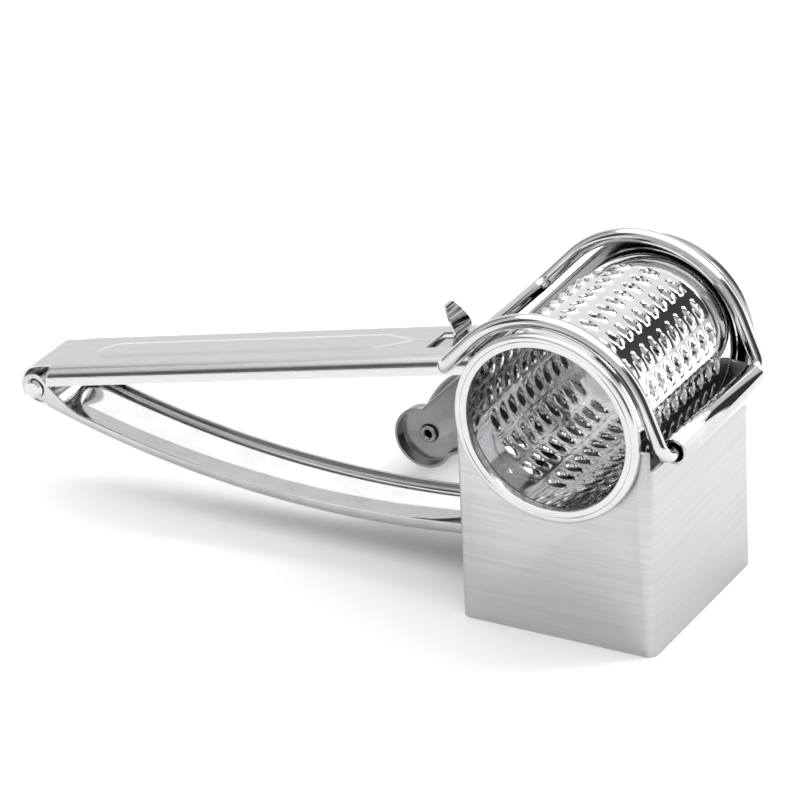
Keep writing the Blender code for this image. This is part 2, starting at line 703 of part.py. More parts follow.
def fixed_handle(mat):
    """Channel, open side down: rolled round the hinge at one end, riveted foot at the other."""
    centre_x, centre_z = roll_centre()
    tangent = 90 + math.degrees(HANDLE_TILT)
    flange_end = HINGE_X + 0.0047
    rib_hinge = HINGE_X + RIB_INSET_HINGE
    rib_root = LEFT_X - RIB_INSET_ROOT
    foot_x = LEFT_X - GAP
    stations = ((flange_end, 0), (rib_hinge, 0), (rib_hinge + 0.003, 1),
                (rib_root - 0.008, 1), (rib_root, 0.12), (rib_root + 0.001, 0), (foot_x, 0))
    rows = [handle_section(x, rib) for x, rib in stations]
    roll = []
    for u, v in ring_points(ROLL_RADIUS, ROLL_END_DEG, tangent, 16):
        x, z = centre_x + u, centre_z + v
        roll.append([(x, y, z) for _, y, _ in handle_section(flange_end, 0)])
    rows = roll + rows
    foot = [(foot_x, y, handle_top(LEFT_X) - FOOT_HEIGHT) for _, y, _ in rows[-1]]
    rows.append(foot)
    skip = [(i, j) for i in range(len(roll)) for j in (0, 1, 7, 8)]
    skip += [(len(rows) - 2, j) for j in (0, 1, 7, 8)]
    item = place("fixed_handle", grid_sheet(rows, skip), mat)
    soften_folds(item, 0.0010, 2)
    thicken(item, ARM_SHEET, 1.0)
    half = LATCH_WIDTH / 2 + 0.0007
    window = block((LEFT_X - WINDOW_FAR_X, -half, 0.03), (LEFT_X - WINDOW_NEAR_X, half, 0.09))
    cut(item, "latch_window", window)
    for side, y in rivet_sides():
        hole = drill((LEFT_X, y, rivet_height()), "X", RIVET_RADIUS + HOLE_PLAY, 0.003)
        cut(item, "foot_hole_" + side, hole)
    return item


def handle_rivets(mat):
    grip = ARM_SHEET + GAP + WALL
    start_x = LEFT_X - GAP - ARM_SHEET
    for side, y in rivet_sides():
        rivet("handle_rivet_" + side, (start_x, y, rivet_height()), "X", grip, mat)


# ---- latch ----------------------------------------------------------------------------------


def latch_hinge():
    x = LEFT_X - WINDOW_FAR_X
    return (x, 0, handle_top(x) - ARM_SHEET - GAP)


def latch_line():
    """Side view of the catch, with the share of its full width at each point."""
    far = LEFT_X - WINDOW_FAR_X - LATCH_STRAP
    foot = LEFT_X - LATCH_FOOT_X
    nose = LEFT_X - LATCH_NOSE_X
    ridge = LATCH_NOSE_Z
    tip = LEFT_X - LATCH_TIP_X
    drop = ARM_SHEET + GAP
    return [(far, handle_top(far) - drop, 0.89),
            (foot - 0.0016, handle_top(foot - 0.0016) - drop, 0.89),
            (foot - 0.0004, handle_top(foot) - drop * 0.4, 0.89),
            (foot + 0.0001, handle_top(foot) + 0.0012, 0.90),
            (nose - 0.0001, ridge - 0.0009, 0.98), (nose, ridge, 1.0),
            (nose - 0.0006, ridge + 0.0010, 0.96),
            ((nose + tip) / 2 + 0.0002, (ridge + LATCH_TIP_Z) / 2 + 0.0005, 0.70),
            (tip + 0.0011, LATCH_TIP_Z - 0.0004, 0.44), (tip + 0.0003, LATCH_TIP_Z, 0.40),
            (tip - 0.0005, LATCH_TIP_Z - 0.0007, 0.37)]


def latch_spring(mat):
    """Thumb catch: strap under the handle, up through its window to a nose, back to a tab."""
    rows = []
    for x, z, share in latch_line():
        half = LATCH_WIDTH / 2 * share
        rows.append([(x, -half, z), (x, half, z)])
    item = place("latch_spring", grid_sheet(rows), mat, latch_hinge())
    thicken(item, LATCH_SHEET, 1.0)
    return item


# ---- lever and hinge ------------------------------------------------------------------------


def lever_arm(mat):
    """Curved channel, open side up, with an ear each side of the hinge."""
    half = LEVER_WIDTH / 2
    end_x = LEFT_X + LEVER_INSIDE
    start_x = HINGE_X + 0.0035
    steps = 11
    rows = []
    for i in range(steps + 1):
        x = start_x + (end_x - start_x) * i / steps
        low = lever_bottom(x)
        high = low + LEVER_FLANGE
        if i == 0:
            high = HINGE_Z + EAR_RADIUS * 0.58
        rows.append([(x, -half, high), (x, -half, low), (x, half, low), (x, half, high)])
    bm = grid_sheet(rows)
    item = place("lever_arm", bm, mat, hinge_pivot())
    soften_folds(item, 0.0010, 2)
    thicken(item, ARM_SHEET, -1.0)
    ear = []
    foot_z = lever_bottom(start_x) + 0.0018
    for u, v in ring_points(EAR_RADIUS, 20, 215, 12):
        ear.append((HINGE_X + u, HINGE_Z + v))
    ear += [(start_x - 0.0002, foot_z), (start_x + 0.0100, lever_bottom(start_x + 0.0100) + 0.0022)]
    for side, y in (("front", -half), ("rear", half - ARM_SHEET)):
        cut(item, "ear_" + side, prism(ear, y, y + ARM_SHEET), "UNION")
    cut(item, "lever_pin_holes", drill(hinge_pivot(), "Y", PIN_RADIUS + HOLE_PLAY, 0.02))
    for name, x in bracket_rivets():
        hole = drill((x, 0, lever_bottom(x)), "Z", RIVET_RADIUS + HOLE_PLAY, 0.004, lever_tilt())
        cut(item, name + "_lever_hole", hole)
    return item


def hinge_pivot():
    return (HINGE_X, 0, HINGE_Z)


def hinge_pin(mat):
    half = LEVER_WIDTH / 2 + GAP
    head = PIN_RADIUS + 0.0009
    crown = 0.0007
    profile = [(0, -half - crown), (head * 0.7, -half - crown), (head, -half - crown / 3),
               (head, -half), (PIN_RADIUS, -half), (PIN_RADIUS, half), (head, half),
               (head, half + crown / 3), (head * 0.7, half + crown), (0, half + crown)]
    return place("hinge_pin", turned(profile, hinge_pivot(), sides=24), mat, hinge_pivot())


def hinge_bushing(mat):
    half = LEVER_WIDTH / 2 - ARM_SHEET - GAP
    profile = tube_profile(PIN_RADIUS + RUN_PLAY, BUSHING_RADIUS, -half, half)
    return place("hinge_bushing", turned(profile, hinge_pivot()), mat, hinge_pivot())


# ---- presser --------------------------------------------------------------------------------


def bracket_rivets():
    return (("bracket_rivet_outer", LEFT_X + 0.0046), ("bracket_rivet_inner", LEFT_X + 0.0112))


def lever_tilt():
    """Turn about Y that lays a piece on the lever's base inside the hopper."""
    low, high = LEFT_X + 0.0010, LEFT_X + LEVER_INSIDE
    return -math.atan((lever_bottom(high) - lever_bottom(low)) / (high - low))


def presser_bracket(mat):
    """Strip from the lever's base to the underside of the presser."""
    half = BRACKET_WIDTH / 2
    low, high = LEFT_X + 0.0010, LEFT_X + LEVER_INSIDE
    lift = ARM_SHEET + GAP
    flat = PRESSER_Z - PRESSER_SHEET - GAP - BRACKET_SHEET
    line = [(low, lever_bottom(low) + lift), (high, lever_bottom(high) + lift),
            (AXIS_X - 0.0090, flat), (AXIS_X + 0.0080, flat)]
    rows = [[(x, -half, z), (x, half, z)] for x, z in line]
    item = place("presser_bracket", grid_sheet(rows), mat, hinge_pivot())
    thicken(item, BRACKET_SHEET, -1.0)
    for name, x in bracket_rivets():
        hole = drill((x, 0, lever_bottom(x)), "Z", RIVET_RADIUS + HOLE_PLAY, 0.004, lever_tilt())
        cut(item, name + "_bracket_hole", hole)
    for side, y in presser_rivet_sides():
        hole = drill((AXIS_X, y, flat), "Z", RIVET_RADIUS + HOLE_PLAY, 0.004)
        cut(item, "bracket_hole_" + side, hole)
    return item


def bracket_rivet_pair(mat):
    grip = ARM_SHEET + GAP + BRACKET_SHEET + 0.0001
    for name, x in bracket_rivets():
        start = (x, 0, lever_bottom(x) - 0.00005)
        rivet(name, start, "Z", grip, mat, hinge_pivot(), lever_tilt())


def presser_rivet_sides():
    return (("front", -BRACKET_WIDTH / 4), ("rear", BRACKET_WIDTH / 4))


def presser_plate(mat):
    """Plate bowed to follow the drum."""
    half_x = PRESSER_WIDTH / 2
    half_y = PRESSER_LENGTH / 2
    sweep = math.degrees(math.asin(half_x / PRESSER_BOW))
    section = [(AXIS_X + u, PRESSER_Z + PRESSER_BOW + v) for u, v in
               ring_points(PRESSER_BOW, 270 - sweep, 270 + sweep, 12)]
    rows = [[(x, y, z) for x, z in section] for y in (-half_y, half_y)]
    item = place("presser_plate", grid_sheet(rows), mat, hinge_pivot())
    thicken(item, PRESSER_SHEET, -1.0)
    for side, y in presser_rivet_sides():
        hole = drill((AXIS_X, y, PRESSER_Z), "Z", RIVET_RADIUS + HOLE_PLAY, 0.004)
        cut(item, "plate_hole_" + side, hole)
    return item


def presser_rivets(mat):
    start_z = PRESSER_Z - PRESSER_SHEET - GAP - BRACKET_SHEET
    grip = PRESSER_Z - start_z
    crown_room = RIVET_HEAD ** 2 / (2 * PRESSER_BOW)
    for side, y in presser_rivet_sides():
        rivet("presser_rivet_" + side, (AXIS_X, y, start_z), "Z", grip + crown_room, mat,
              hinge_pivot())


# ---- build ----------------------------------------------------------------------------------


def build():
    clear_scene()
    brushed = metal("brushed steel", 0.62, 0.34)
    polished = metal("polished steel", 0.78, 0.08)
    satin = metal("satin steel", 0.70, 0.20)
    hopper_box(brushed)
    bail_sleeve(polished)
    wire_bail(polished)
    drum_barrel(polished)
    drum_front_ring(polished)
    drum_rear_cap(polished)
    hub_spacer(satin)
    hub_bolt(satin)
    hub_nut(satin)
    crank_arm(satin)
    knob_pin(satin)
    knob_washer(satin)
    knob(polished)
    knob_cap(polished)
    fixed_handle(satin)
    handle_rivets(satin)
    latch_spring(polished)
    lever_arm(polished)
    hinge_pin(satin)
    hinge_bushing(satin)
    presser_bracket(satin)
    bracket_rivet_pair(satin)
    presser_plate(satin)
    presser_rivets(satin)


build()
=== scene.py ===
import json
import math

import bmesh
import bpy
from mathutils import Matrix, Vector


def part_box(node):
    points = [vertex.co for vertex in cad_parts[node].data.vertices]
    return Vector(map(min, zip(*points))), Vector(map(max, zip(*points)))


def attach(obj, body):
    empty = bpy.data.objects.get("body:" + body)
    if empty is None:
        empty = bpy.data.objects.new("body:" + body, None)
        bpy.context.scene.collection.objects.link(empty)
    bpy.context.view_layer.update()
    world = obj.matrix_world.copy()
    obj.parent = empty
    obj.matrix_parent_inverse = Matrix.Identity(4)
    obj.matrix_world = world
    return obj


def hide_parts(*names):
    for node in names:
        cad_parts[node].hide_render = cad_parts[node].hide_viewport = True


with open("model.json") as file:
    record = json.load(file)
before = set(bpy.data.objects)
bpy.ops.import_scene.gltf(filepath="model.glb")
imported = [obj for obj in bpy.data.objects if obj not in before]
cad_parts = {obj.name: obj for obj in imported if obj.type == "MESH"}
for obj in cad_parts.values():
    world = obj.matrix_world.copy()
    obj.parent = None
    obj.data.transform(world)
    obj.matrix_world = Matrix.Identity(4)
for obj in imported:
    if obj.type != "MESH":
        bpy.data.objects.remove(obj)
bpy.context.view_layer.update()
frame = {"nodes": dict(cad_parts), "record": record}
record = frame["record"]
mm = 0.001


def jointAt(name):
    joint = next(j for j in record["behaviour"]["joints"] if j["name"] == name)
    return Vector(joint["pos_m"])


def polar(radius, degrees):
    angle = math.radians(degrees)
    return radius * math.cos(angle), radius * math.sin(angle)


def moveAll(bm, offset):
    bmesh.ops.translate(bm, verts=bm.verts, vec=offset)


def turnAll(bm, degrees, axis):
    turn = Matrix.Rotation(math.radians(degrees), 3, axis)
    bmesh.ops.rotate(bm, verts=bm.verts, cent=(0, 0, 0), matrix=turn)


def liftedVerts(lifted):
    return [v for v in lifted if isinstance(v, bmesh.types.BMVert)]


def liftEdges(bm, edges, offset):
    # draws a new strip of sheet out from the edges
    lifted = bmesh.ops.extrude_edge_only(bm, edges=edges)["geom"]
    bmesh.ops.translate(bm, verts=liftedVerts(lifted), vec=offset)


def roundEdges(bm, edges, radius, steps=3):
    bmesh.ops.bevel(bm, geom=edges, offset=radius, affect="EDGES", segments=steps,
                    profile=0.5, material=-1, clamp_overlap=True)


def addObject(name, bm):
    mesh = bpy.data.meshes.new(name)
    bm.to_mesh(mesh)
    bm.free()
    piece = bpy.data.objects.new(name, mesh)
    bpy.context.scene.collection.objects.link(piece)
    return piece


def sheetMetal(piece, thickness, side):
    # side 1 grows along the normals, -1 against them
    wall = piece.modifiers.new("sheet", "SOLIDIFY")
    wall.thickness = thickness
    wall.offset = side
    wall.use_even_offset = True


def softEdges(piece, radius, steps=2, angle=38):
    edge = piece.modifiers.new("edges", "BEVEL")
    edge.width = radius
    edge.segments = steps
    edge.limit_method = "ANGLE"
    edge.angle_limit = math.radians(angle)
    edge.harden_normals = False


def cutWith(piece, cutters, operation="DIFFERENCE"):
    for bm in cutters:
        tool = addObject("tool", bm)
        tool.hide_render = True
        cut = piece.modifiers.new("cut", "BOOLEAN")
        cut.operation = operation
        cut.object = tool
        bakeModifiers(piece)
        bpy.data.objects.remove(tool)


def bakeModifiers(piece):
    bpy.context.view_layer.update()
    graph = bpy.context.evaluated_depsgraph_get()
    mesh = bpy.data.meshes.new_from_object(piece.evaluated_get(graph))
    piece.modifiers.clear()
    piece.data = mesh


def finishPiece(piece, material, body, nodes, sharp=32):
    bakeModifiers(piece)
    bm = bmesh.new()
    bm.from_mesh(piece.data)
    bmesh.ops.remove_doubles(bm, verts=bm.verts, dist=1e-7)
    bm.to_mesh(piece.data)
    bm.free()
    piece.data.shade_smooth()
    piece.data.set_sharp_from_angle(angle=math.radians(sharp))
    piece.data.materials.clear()
    piece.data.materials.append(material)
    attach(piece, body)
    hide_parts(*nodes)


def turnedShape(profile, centre, steps=96):
    # profile of (radius, y) points, closed on itself or ending on the axis
    bm = bmesh.new()
    verts = [bm.verts.new((radius, along, 0)) for radius, along in profile]
    edges = [bm.edges.new(pair) for pair in zip(verts, verts[1:])]
    if profile[0][0] > 0:
        edges.append(bm.edges.new((verts[-1], verts[0])))
    bmesh.ops.spin(bm, geom=verts + edges, cent=(0, 0, 0), axis=(0, 1, 0),
                   angle=2 * math.pi, steps=steps, use_merge=True)
    bmesh.ops.remove_doubles(bm, verts=bm.verts, dist=1e-7)
    bmesh.ops.recalc_face_normals(bm, faces=bm.faces)
    moveAll(bm, centre)
    return bm


def boxShape(low, high):
    bm = bmesh.new()
    bmesh.ops.create_cube(bm, size=1)
    bmesh.ops.scale(bm, verts=bm.verts, vec=Vector(high) - Vector(low))
    moveAll(bm, (Vector(high) + Vector(low)) / 2)
    return bm


def rodShape(centre, radius, length, steps=48):
    # a round rod along Y
    bm = bmesh.new()
    bmesh.ops.create_cone(bm, cap_ends=True, segments=steps, radius1=radius, radius2=radius,
                          depth=length)
    turnAll(bm, 90, "X")
    moveAll(bm, centre)
    return bm


def addNode(tree, kind, **values):
    node = tree.nodes.new(kind)
    for name, value in values.items():
        if hasattr(node, name):
            setattr(node, name, value)
        else:
            node.inputs[name.replace("_", " ")].default_value = value
    return node


def openGroup(name, inputs, outputs):
    group = bpy.data.node_groups.new(name, "ShaderNodeTree")
    for label, value in inputs:
        socket = group.interface.new_socket(name=label, in_out="INPUT", socket_type="NodeSocketFloat")
        socket.default_value = value
    for label, kind in outputs:
        group.interface.new_socket(name=label, in_out="OUTPUT", socket_type=kind)
    return group, group.nodes.new("NodeGroupInput"), group.nodes.new("NodeGroupOutput")


def brushingGroup():
    # long streaks along one direction: a mask, and the same as a normal
    group, ins, outs = openGroup(
        "brushing", [("AlongX", 60), ("AlongY", 60), ("AlongZ", 4000), ("Depth", 0.1)],
        [("Streaks", "NodeSocketFloat"), ("Cloudiness", "NodeSocketFloat"), ("Normal", "NodeSocketVector")])
    links = group.links
    coords = group.nodes.new("ShaderNodeTexCoord")
    join = group.nodes.new("ShaderNodeCombineXYZ")
    for axis, label in zip("XYZ", ("AlongX", "AlongY", "AlongZ")):
        links.new(ins.outputs[label], join.inputs[axis])
    stretch = addNode(group, "ShaderNodeVectorMath", operation="MULTIPLY")
    links.new(coords.outputs["Object"], stretch.inputs[0])
    links.new(join.outputs[0], stretch.inputs[1])
    fine = addNode(group, "ShaderNodeTexNoise", Scale=1.0, Detail=3.0, Roughness=0.65)
    broad = addNode(group, "ShaderNodeTexNoise", Scale=0.22, Detail=3.0, Roughness=0.6)
    cloud = addNode(group, "ShaderNodeTexNoise", Scale=70.0, Detail=3.0, Roughness=0.55)
    links.new(stretch.outputs[0], fine.inputs["Vector"])
    links.new(stretch.outputs[0], broad.inputs["Vector"])
    links.new(coords.outputs["Object"], cloud.inputs["Vector"])
    blend = addNode(group, "ShaderNodeMix", data_type="FLOAT")
    blend.inputs["Factor"].default_value = 0.45
    links.new(fine.outputs["Fac"], blend.inputs[2])
    links.new(broad.outputs["Fac"], blend.inputs[3])
    contrast = addNode(group, "ShaderNodeMapRange")
    contrast.inputs["From Min"].default_value = 0.3
    contrast.inputs["From Max"].default_value = 0.7
    links.new(blend.outputs[0], contrast.inputs["Value"])
    bump = addNode(group, "ShaderNodeBump")
    bump.inputs["Distance"].default_value = 0.0001
    links.new(ins.outputs["Depth"], bump.inputs["Strength"])
    links.new(contrast.outputs[0], bump.inputs["Height"])
    links.new(contrast.outputs[0], outs.inputs["Streaks"])
    links.new(cloud.outputs["Fac"], outs.inputs["Cloudiness"])
    links.new(bump.outputs[0], outs.inputs["Normal"])
    return group


def wearGroup():
    # fine scuffs and soft waviness of rolled and polished sheet
    group, ins, outs = openGroup(
        "wear", [("ScuffScale", 900), ("WaveScale", 60), ("WaveDepth", 0.1)],
        [("Scuffs", "NodeSocketFloat"), ("Smudges", "NodeSocketFloat"), ("Normal", "NodeSocketVector")])
    links = group.links
    coords = group.nodes.new("ShaderNodeTexCoord")
    scuff = addNode(group, "ShaderNodeTexVoronoi", feature="DISTANCE_TO_EDGE")
    smudge = addNode(group, "ShaderNodeTexNoise", Scale=120.0, Detail=5.0, Roughness=0.6)
    wave = addNode(group, "ShaderNodeTexNoise", Detail=1.0)
    links.new(ins.outputs["ScuffScale"], scuff.inputs["Scale"])
    links.new(ins.outputs["WaveScale"], wave.inputs["Scale"])
    for texture in (scuff, smudge, wave):
        links.new(coords.outputs["Object"], texture.inputs["Vector"])
    line = addNode(group, "ShaderNodeMapRange")
    line.inputs["From Max"].default_value = 0.03
    line.inputs["To Min"].default_value = 1.0
    line.inputs["To Max"].default_value = 0.0
    links.new(scuff.outputs["Distance"], line.inputs["Value"])
    spread = addNode(group, "ShaderNodeMapRange")
    spread.inputs["From Min"].default_value = 0.35
    spread.inputs["From Max"].default_value = 0.7
    links.new(smudge.outputs["Fac"], spread.inputs["Value"])
    patchy = addNode(group, "ShaderNodeMath", operation="MULTIPLY")
    links.new(line.outputs[0], patchy.inputs[0])
    links.new(spread.outputs[0], patchy.inputs[1])
    bump = addNode(group, "ShaderNodeBump")
    bump.inputs["Distance"].default_value = 0.0006
    links.new(ins.outputs["WaveDepth"], bump.inputs["Strength"])
    links.new(wave.outputs["Fac"], bump.inputs["Height"])
    links.new(patchy.outputs[0], outs.inputs["Scuffs"])
    links.new(spread.outputs[0], outs.inputs["Smudges"])
    links.new(bump.outputs[0], outs.inputs["Normal"])
    return group


brushing = brushingGroup()
wear = wearGroup()


def mixedColour(tree, mask, low, high):
    ramp = tree.nodes.new("ShaderNodeValToRGB")
    ramp.color_ramp.elements[0].color = (*low, 1)
    ramp.color_ramp.elements[1].color = (*high, 1)
    tree.links.new(mask, ramp.inputs["Fac"])
    return ramp.outputs["Color"]


def spreadValue(tree, mask, low, high):
    remap = tree.nodes.new("ShaderNodeMapRange")
    remap.inputs["To Min"].default_value = low
    remap.inputs["To Max"].default_value = high
    tree.links.new(mask, remap.inputs["Value"])
    return remap.outputs[0]


def metalShader(name):
    material = bpy.data.materials.new(name)
    material.use_nodes = True
    shader = material.node_tree.nodes["Principled BSDF"]
    shader.inputs["Metallic"].default_value = 1.0
    return material, material.node_tree, shader


def brushedSteel(name, look):
    material, tree, shader = metalShader(name)
    grain = tree.nodes.new("ShaderNodeGroup")
    grain.node_tree = brushing
    for label in ("AlongX", "AlongY", "AlongZ"):
        grain.inputs[label].default_value = look[label]
    grain.inputs["Depth"].default_value = look["depth"]
    colour = mixedColour(tree, grain.outputs["Streaks"], look["dark"], look["light"])
    tree.links.new(colour, shader.inputs["Base Color"])
    rough = spreadValue(tree, grain.outputs["Cloudiness"], look["roughLow"], look["roughHigh"])
    tree.links.new(rough, shader.inputs["Roughness"])
    tree.links.new(grain.outputs["Normal"], shader.inputs["Normal"])
    return material


def polishedSteel(name, look):
    material, tree, shader = metalShader(name)
    surface = tree.nodes.new("ShaderNodeGroup")
    surface.node_tree = wear
    surface.inputs["ScuffScale"].default_value = look["scuffScale"]
    surface.inputs["WaveScale"].default_value = look["waveScale"]
    surface.inputs["WaveDepth"].default_value = look["waveDepth"]
    colour = mixedColour(tree, surface.outputs["Smudges"], look["dark"], look["light"])
    tree.links.new(colour, shader.inputs["Base Color"])
    smear = spreadValue(tree, surface.outputs["Smudges"], look["roughLow"], look["roughHigh"])
    scratch = tree.nodes.new("ShaderNodeMath")
    scratch.operation = "MULTIPLY_ADD"
    scratch.inputs[1].default_value = look["scuffRough"]
    tree.links.new(surface.outputs["Scuffs"], scratch.inputs[0])
    tree.links.new(smear, scratch.inputs[2])
    tree.links.new(scratch.outputs[0], shader.inputs["Roughness"])
    tree.links.new(surface.outputs["Normal"], shader.inputs["Normal"])
    return material


def knobPlastic():
    material = bpy.data.materials.new("knobPlastic")
    material.use_nodes = True
    tree = material.node_tree
    shader = tree.nodes["Principled BSDF"]
    surface = tree.nodes.new("ShaderNodeGroup")
    surface.node_tree = wear
    surface.inputs["ScuffScale"].default_value = 700
    surface.inputs["WaveScale"].default_value = 400
    surface.inputs["WaveDepth"].default_value = 0.04
    colour = mixedColour(tree, surface.outputs["Smudges"], (0.012, 0.012, 0.013), (0.022, 0.022, 0.024))
    tree.links.new(colour, shader.inputs["Base Color"])
    rough = spreadValue(tree, surface.outputs["Smudges"], 0.24, 0.36)
    tree.links.new(rough, shader.inputs["Roughness"])
    tree.links.new(surface.outputs["Normal"], shader.inputs["Normal"])
    return material


def steelTone(value):
    return (value, value, value * 1.012)


finishes = {
    "hopper": brushedSteel("hopperBrushed", {
        "AlongX": 30, "AlongY": 30, "AlongZ": 4200, "depth": 0.22,
        "dark": steelTone(0.43), "light": steelTone(0.57), "roughLow": 0.28, "roughHigh": 0.38}),
    "satin": brushedSteel("satinSheet", {
        "AlongX": 40, "AlongY": 2600, "AlongZ": 2600, "depth": 0.10,
        "dark": steelTone(0.56), "light": steelTone(0.64), "roughLow": 0.14, "roughHigh": 0.22}),
    "polished": polishedSteel("polishedSheet", {
        "scuffScale": 700, "waveScale": 70, "waveDepth": 0.10,
        "dark": steelTone(0.48), "light": steelTone(0.56), "roughLow": 0.03, "roughHigh": 0.07,
        "scuffRough": 0.10}),
    "wire": polishedSteel("polishedWire", {
        "scuffScale": 1100, "waveScale": 160, "waveDepth": 0.03,
        "dark": steelTone(0.54), "light": steelTone(0.62), "roughLow": 0.05, "roughHigh": 0.10,
        "scuffRough": 0.12}),
    "drum": polishedSteel("drumSheet", {
        "scuffScale": 800, "waveScale": 120, "waveDepth": 0.05,
        "dark": steelTone(0.72), "light": steelTone(0.80), "roughLow": 0.03, "roughHigh": 0.07,
        "scuffRough": 0.10}),
    "ring": polishedSteel("ringSatin", {
        "scuffScale": 900, "waveScale": 90, "waveDepth": 0.02,
        "dark": steelTone(0.58), "light": steelTone(0.64), "roughLow": 0.17, "roughHigh": 0.24,
        "scuffRough": 0.08}),
    "crank": brushedSteel("crankSatin", {
        "AlongX": 900, "AlongY": 900, "AlongZ": 900, "depth": 0.05,
        "dark": steelTone(0.31), "light": steelTone(0.38), "roughLow": 0.16, "roughHigh": 0.26}),
    "knob": knobPlastic(),
}
print("finishes made")


hopperBits = {"sheet": 1.2 * mm, "bend": 2.5 * mm, "height": 60.7 * mm, "seatPlay": 0.35 * mm,
              "drumRadius": 24.0 * mm, "edge": 0.22 * mm, "tabWidth": 20.8 * mm,
              "slotHeight": 40.0 * mm, "notchDepth": 6.2 * mm}
drumCentre = jointAt("drum_spin")


def makeHopper():
    low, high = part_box("hopper_box")
    sheet = hopperBits["sheet"]
    bm = boxShape(low, (high.x, high.y, hopperBits["height"]))
    caps = [f for f in bm.faces if abs(f.normal.z) > 0.9]
    bmesh.ops.delete(bm, geom=caps, context="FACES_ONLY")
    corners = [e for e in bm.edges if abs(e.verts[0].co.z - e.verts[1].co.z) > 0.01]
    roundEdges(bm, corners, hopperBits["bend"], 6)
    piece = addObject("hopperSheet", bm)
    sheetMetal(piece, sheet, -1)
    bakeModifiers(piece)
    half = hopperBits["tabWidth"] / 2
    tab = boxShape((low.x, -half, hopperBits["height"] - 4 * mm), (low.x + sheet, half, high.z))
    cutWith(piece, [tab], "UNION")
    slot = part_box("lever_arm")
    slotHalf = slot[1].y + 0.9 * mm
    seatRadius = hopperBits["drumRadius"] + hopperBits["seatPlay"]
    cutWith(piece, [
        rodShape((drumCentre.x, 0, drumCentre.z), seatRadius, 0.2, 128),
        boxShape((low.x - 0.01, -slotHalf, -0.01), (low.x + 0.01, slotHalf, hopperBits["slotHeight"])),
        boxShape((high.x - 4 * mm, low.y + sheet, hopperBits["height"] - hopperBits["notchDepth"]),
                 (high.x + 4 * mm, high.y - sheet, hopperBits["height"] + 4 * mm))])
    softEdges(piece, hopperBits["edge"], 2, 50)
    finishPiece(piece, finishes["hopper"], "hopper", ["hopper_box"])


makeHopper()


sleeveBits = {"sheet": 0.9 * mm, "bend": 3.2 * mm, "sweep": 310, "edge": 0.18 * mm}


def makeSleeve():
    low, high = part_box("bail_sleeve")
    pivot = jointAt("bail_swing")
    foot = hopperBits["height"] - hopperBits["notchDepth"] + 0.3 * mm
    bm = bmesh.new()
    start = bm.verts.new((pivot.x - sleeveBits["bend"], low.y, foot))
    top = bm.verts.new((pivot.x - sleeveBits["bend"], low.y, pivot.z))
    bm.edges.new((start, top))
    bmesh.ops.spin(bm, geom=[top], cent=(pivot.x, low.y, pivot.z), axis=(0, 1, 0),
                   angle=math.radians(sleeveBits["sweep"]), steps=28)
    liftEdges(bm, bm.edges[:], (0, high.y - low.y, 0))
    bmesh.ops.remove_doubles(bm, verts=bm.verts, dist=1e-7)
    piece = addObject("bailSleeve", bm)
    sheetMetal(piece, sleeveBits["sheet"], 0)
    softEdges(piece, sleeveBits["edge"], 2, 60)
    finishPiece(piece, finishes["polished"], "hopper", ["bail_sleeve"])


makeSleeve()
print("hopper made")


bailBits = {"radius": 2.0 * mm, "bend": 4.3 * mm, "arc": 30.5 * mm, "shiftX": -2.4 * mm,
            "shiftZ": -2.6 * mm, "barZ": 71.09 * mm}


def touchAngle(point, centre, radius, side):
    run = Vector(point) - Vector(centre)
    return math.degrees(math.atan2(run.y, run.x) + side * math.acos(radius / run.length))


def makeBail():
    low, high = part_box("wire_bail")
    pivot = jointAt("bail_swing")
    wire = bailBits["radius"]
    barX, barZ = low.x + wire, bailBits["barZ"]
    frontY, rearY = low.y + wire, high.y - wire
    centre = (drumCentre.x + bailBits["shiftX"], drumCentre.z + bailBits["shiftZ"])
    right = touchAngle((pivot.x, pivot.z), centre, bailBits["arc"], 1)
    left = touchAngle((barX, barZ), centre, bailBits["arc"], -1)
    arch = []
    for i in range(41):
        u, v = polar(bailBits["arc"], right + (left - right) * i / 40)
        arch.append((centre[0] + u, centre[1] + v))
    corners = [((pivot.x, frontY, pivot.z), True), ((pivot.x, rearY, pivot.z), True)]
    corners += [((x, rearY, z), False) for x, z in arch]
    corners += [((barX, rearY, barZ), True), ((barX, frontY, barZ), True)]
    corners += [((x, frontY, z), False) for x, z in reversed(arch)]
    path = []
    for i, (place, bent) in enumerate(corners):
        here = Vector(place)
        if not bent:
            path.append(here)
            continue
        back = (Vector(corners[i - 1][0]) - here).normalized()
        ahead = (Vector(corners[(i + 1) % len(corners)][0]) - here).normalized()
        half = back.angle(ahead) / 2
        middle = here + (back + ahead).normalized() * bailBits["bend"] / math.sin(half)
        start = here + back * bailBits["bend"] / math.tan(half) - middle
        end = here + ahead * bailBits["bend"] / math.tan(half) - middle
        span = start.angle(end)
        for k in range(11):
            share = k / 10
            path.append(middle + (start * math.sin(span * (1 - share)) + end * math.sin(span * share))
                        / math.sin(span))
    curve = bpy.data.curves.new("bailWire", "CURVE")
    curve.dimensions = "3D"
    curve.bevel_depth = wire
    curve.bevel_resolution = 6
    spline = curve.splines.new("POLY")
    spline.points.add(len(path) - 1)
    for point, place in zip(spline.points, path):
        point.co = (*place, 1)
    spline.use_cyclic_u = True
    piece = bpy.data.objects.new("bailWire", curve)
    bpy.context.scene.collection.objects.link(piece)
    bpy.context.view_layer.update()
    mesh = bpy.data.meshes.new_from_object(piece.evaluated_get(bpy.context.evaluated_depsgraph_get()))
    solid = bpy.data.objects.new("bailWireRound", mesh)
    bpy.context.scene.collection.objects.link(solid)
    bpy.data.objects.remove(piece)
    solid.name = "bailWire"
    finishPiece(solid, finishes["wire"], "bail", ["wire_bail"])


makeBail()
print("bail made")


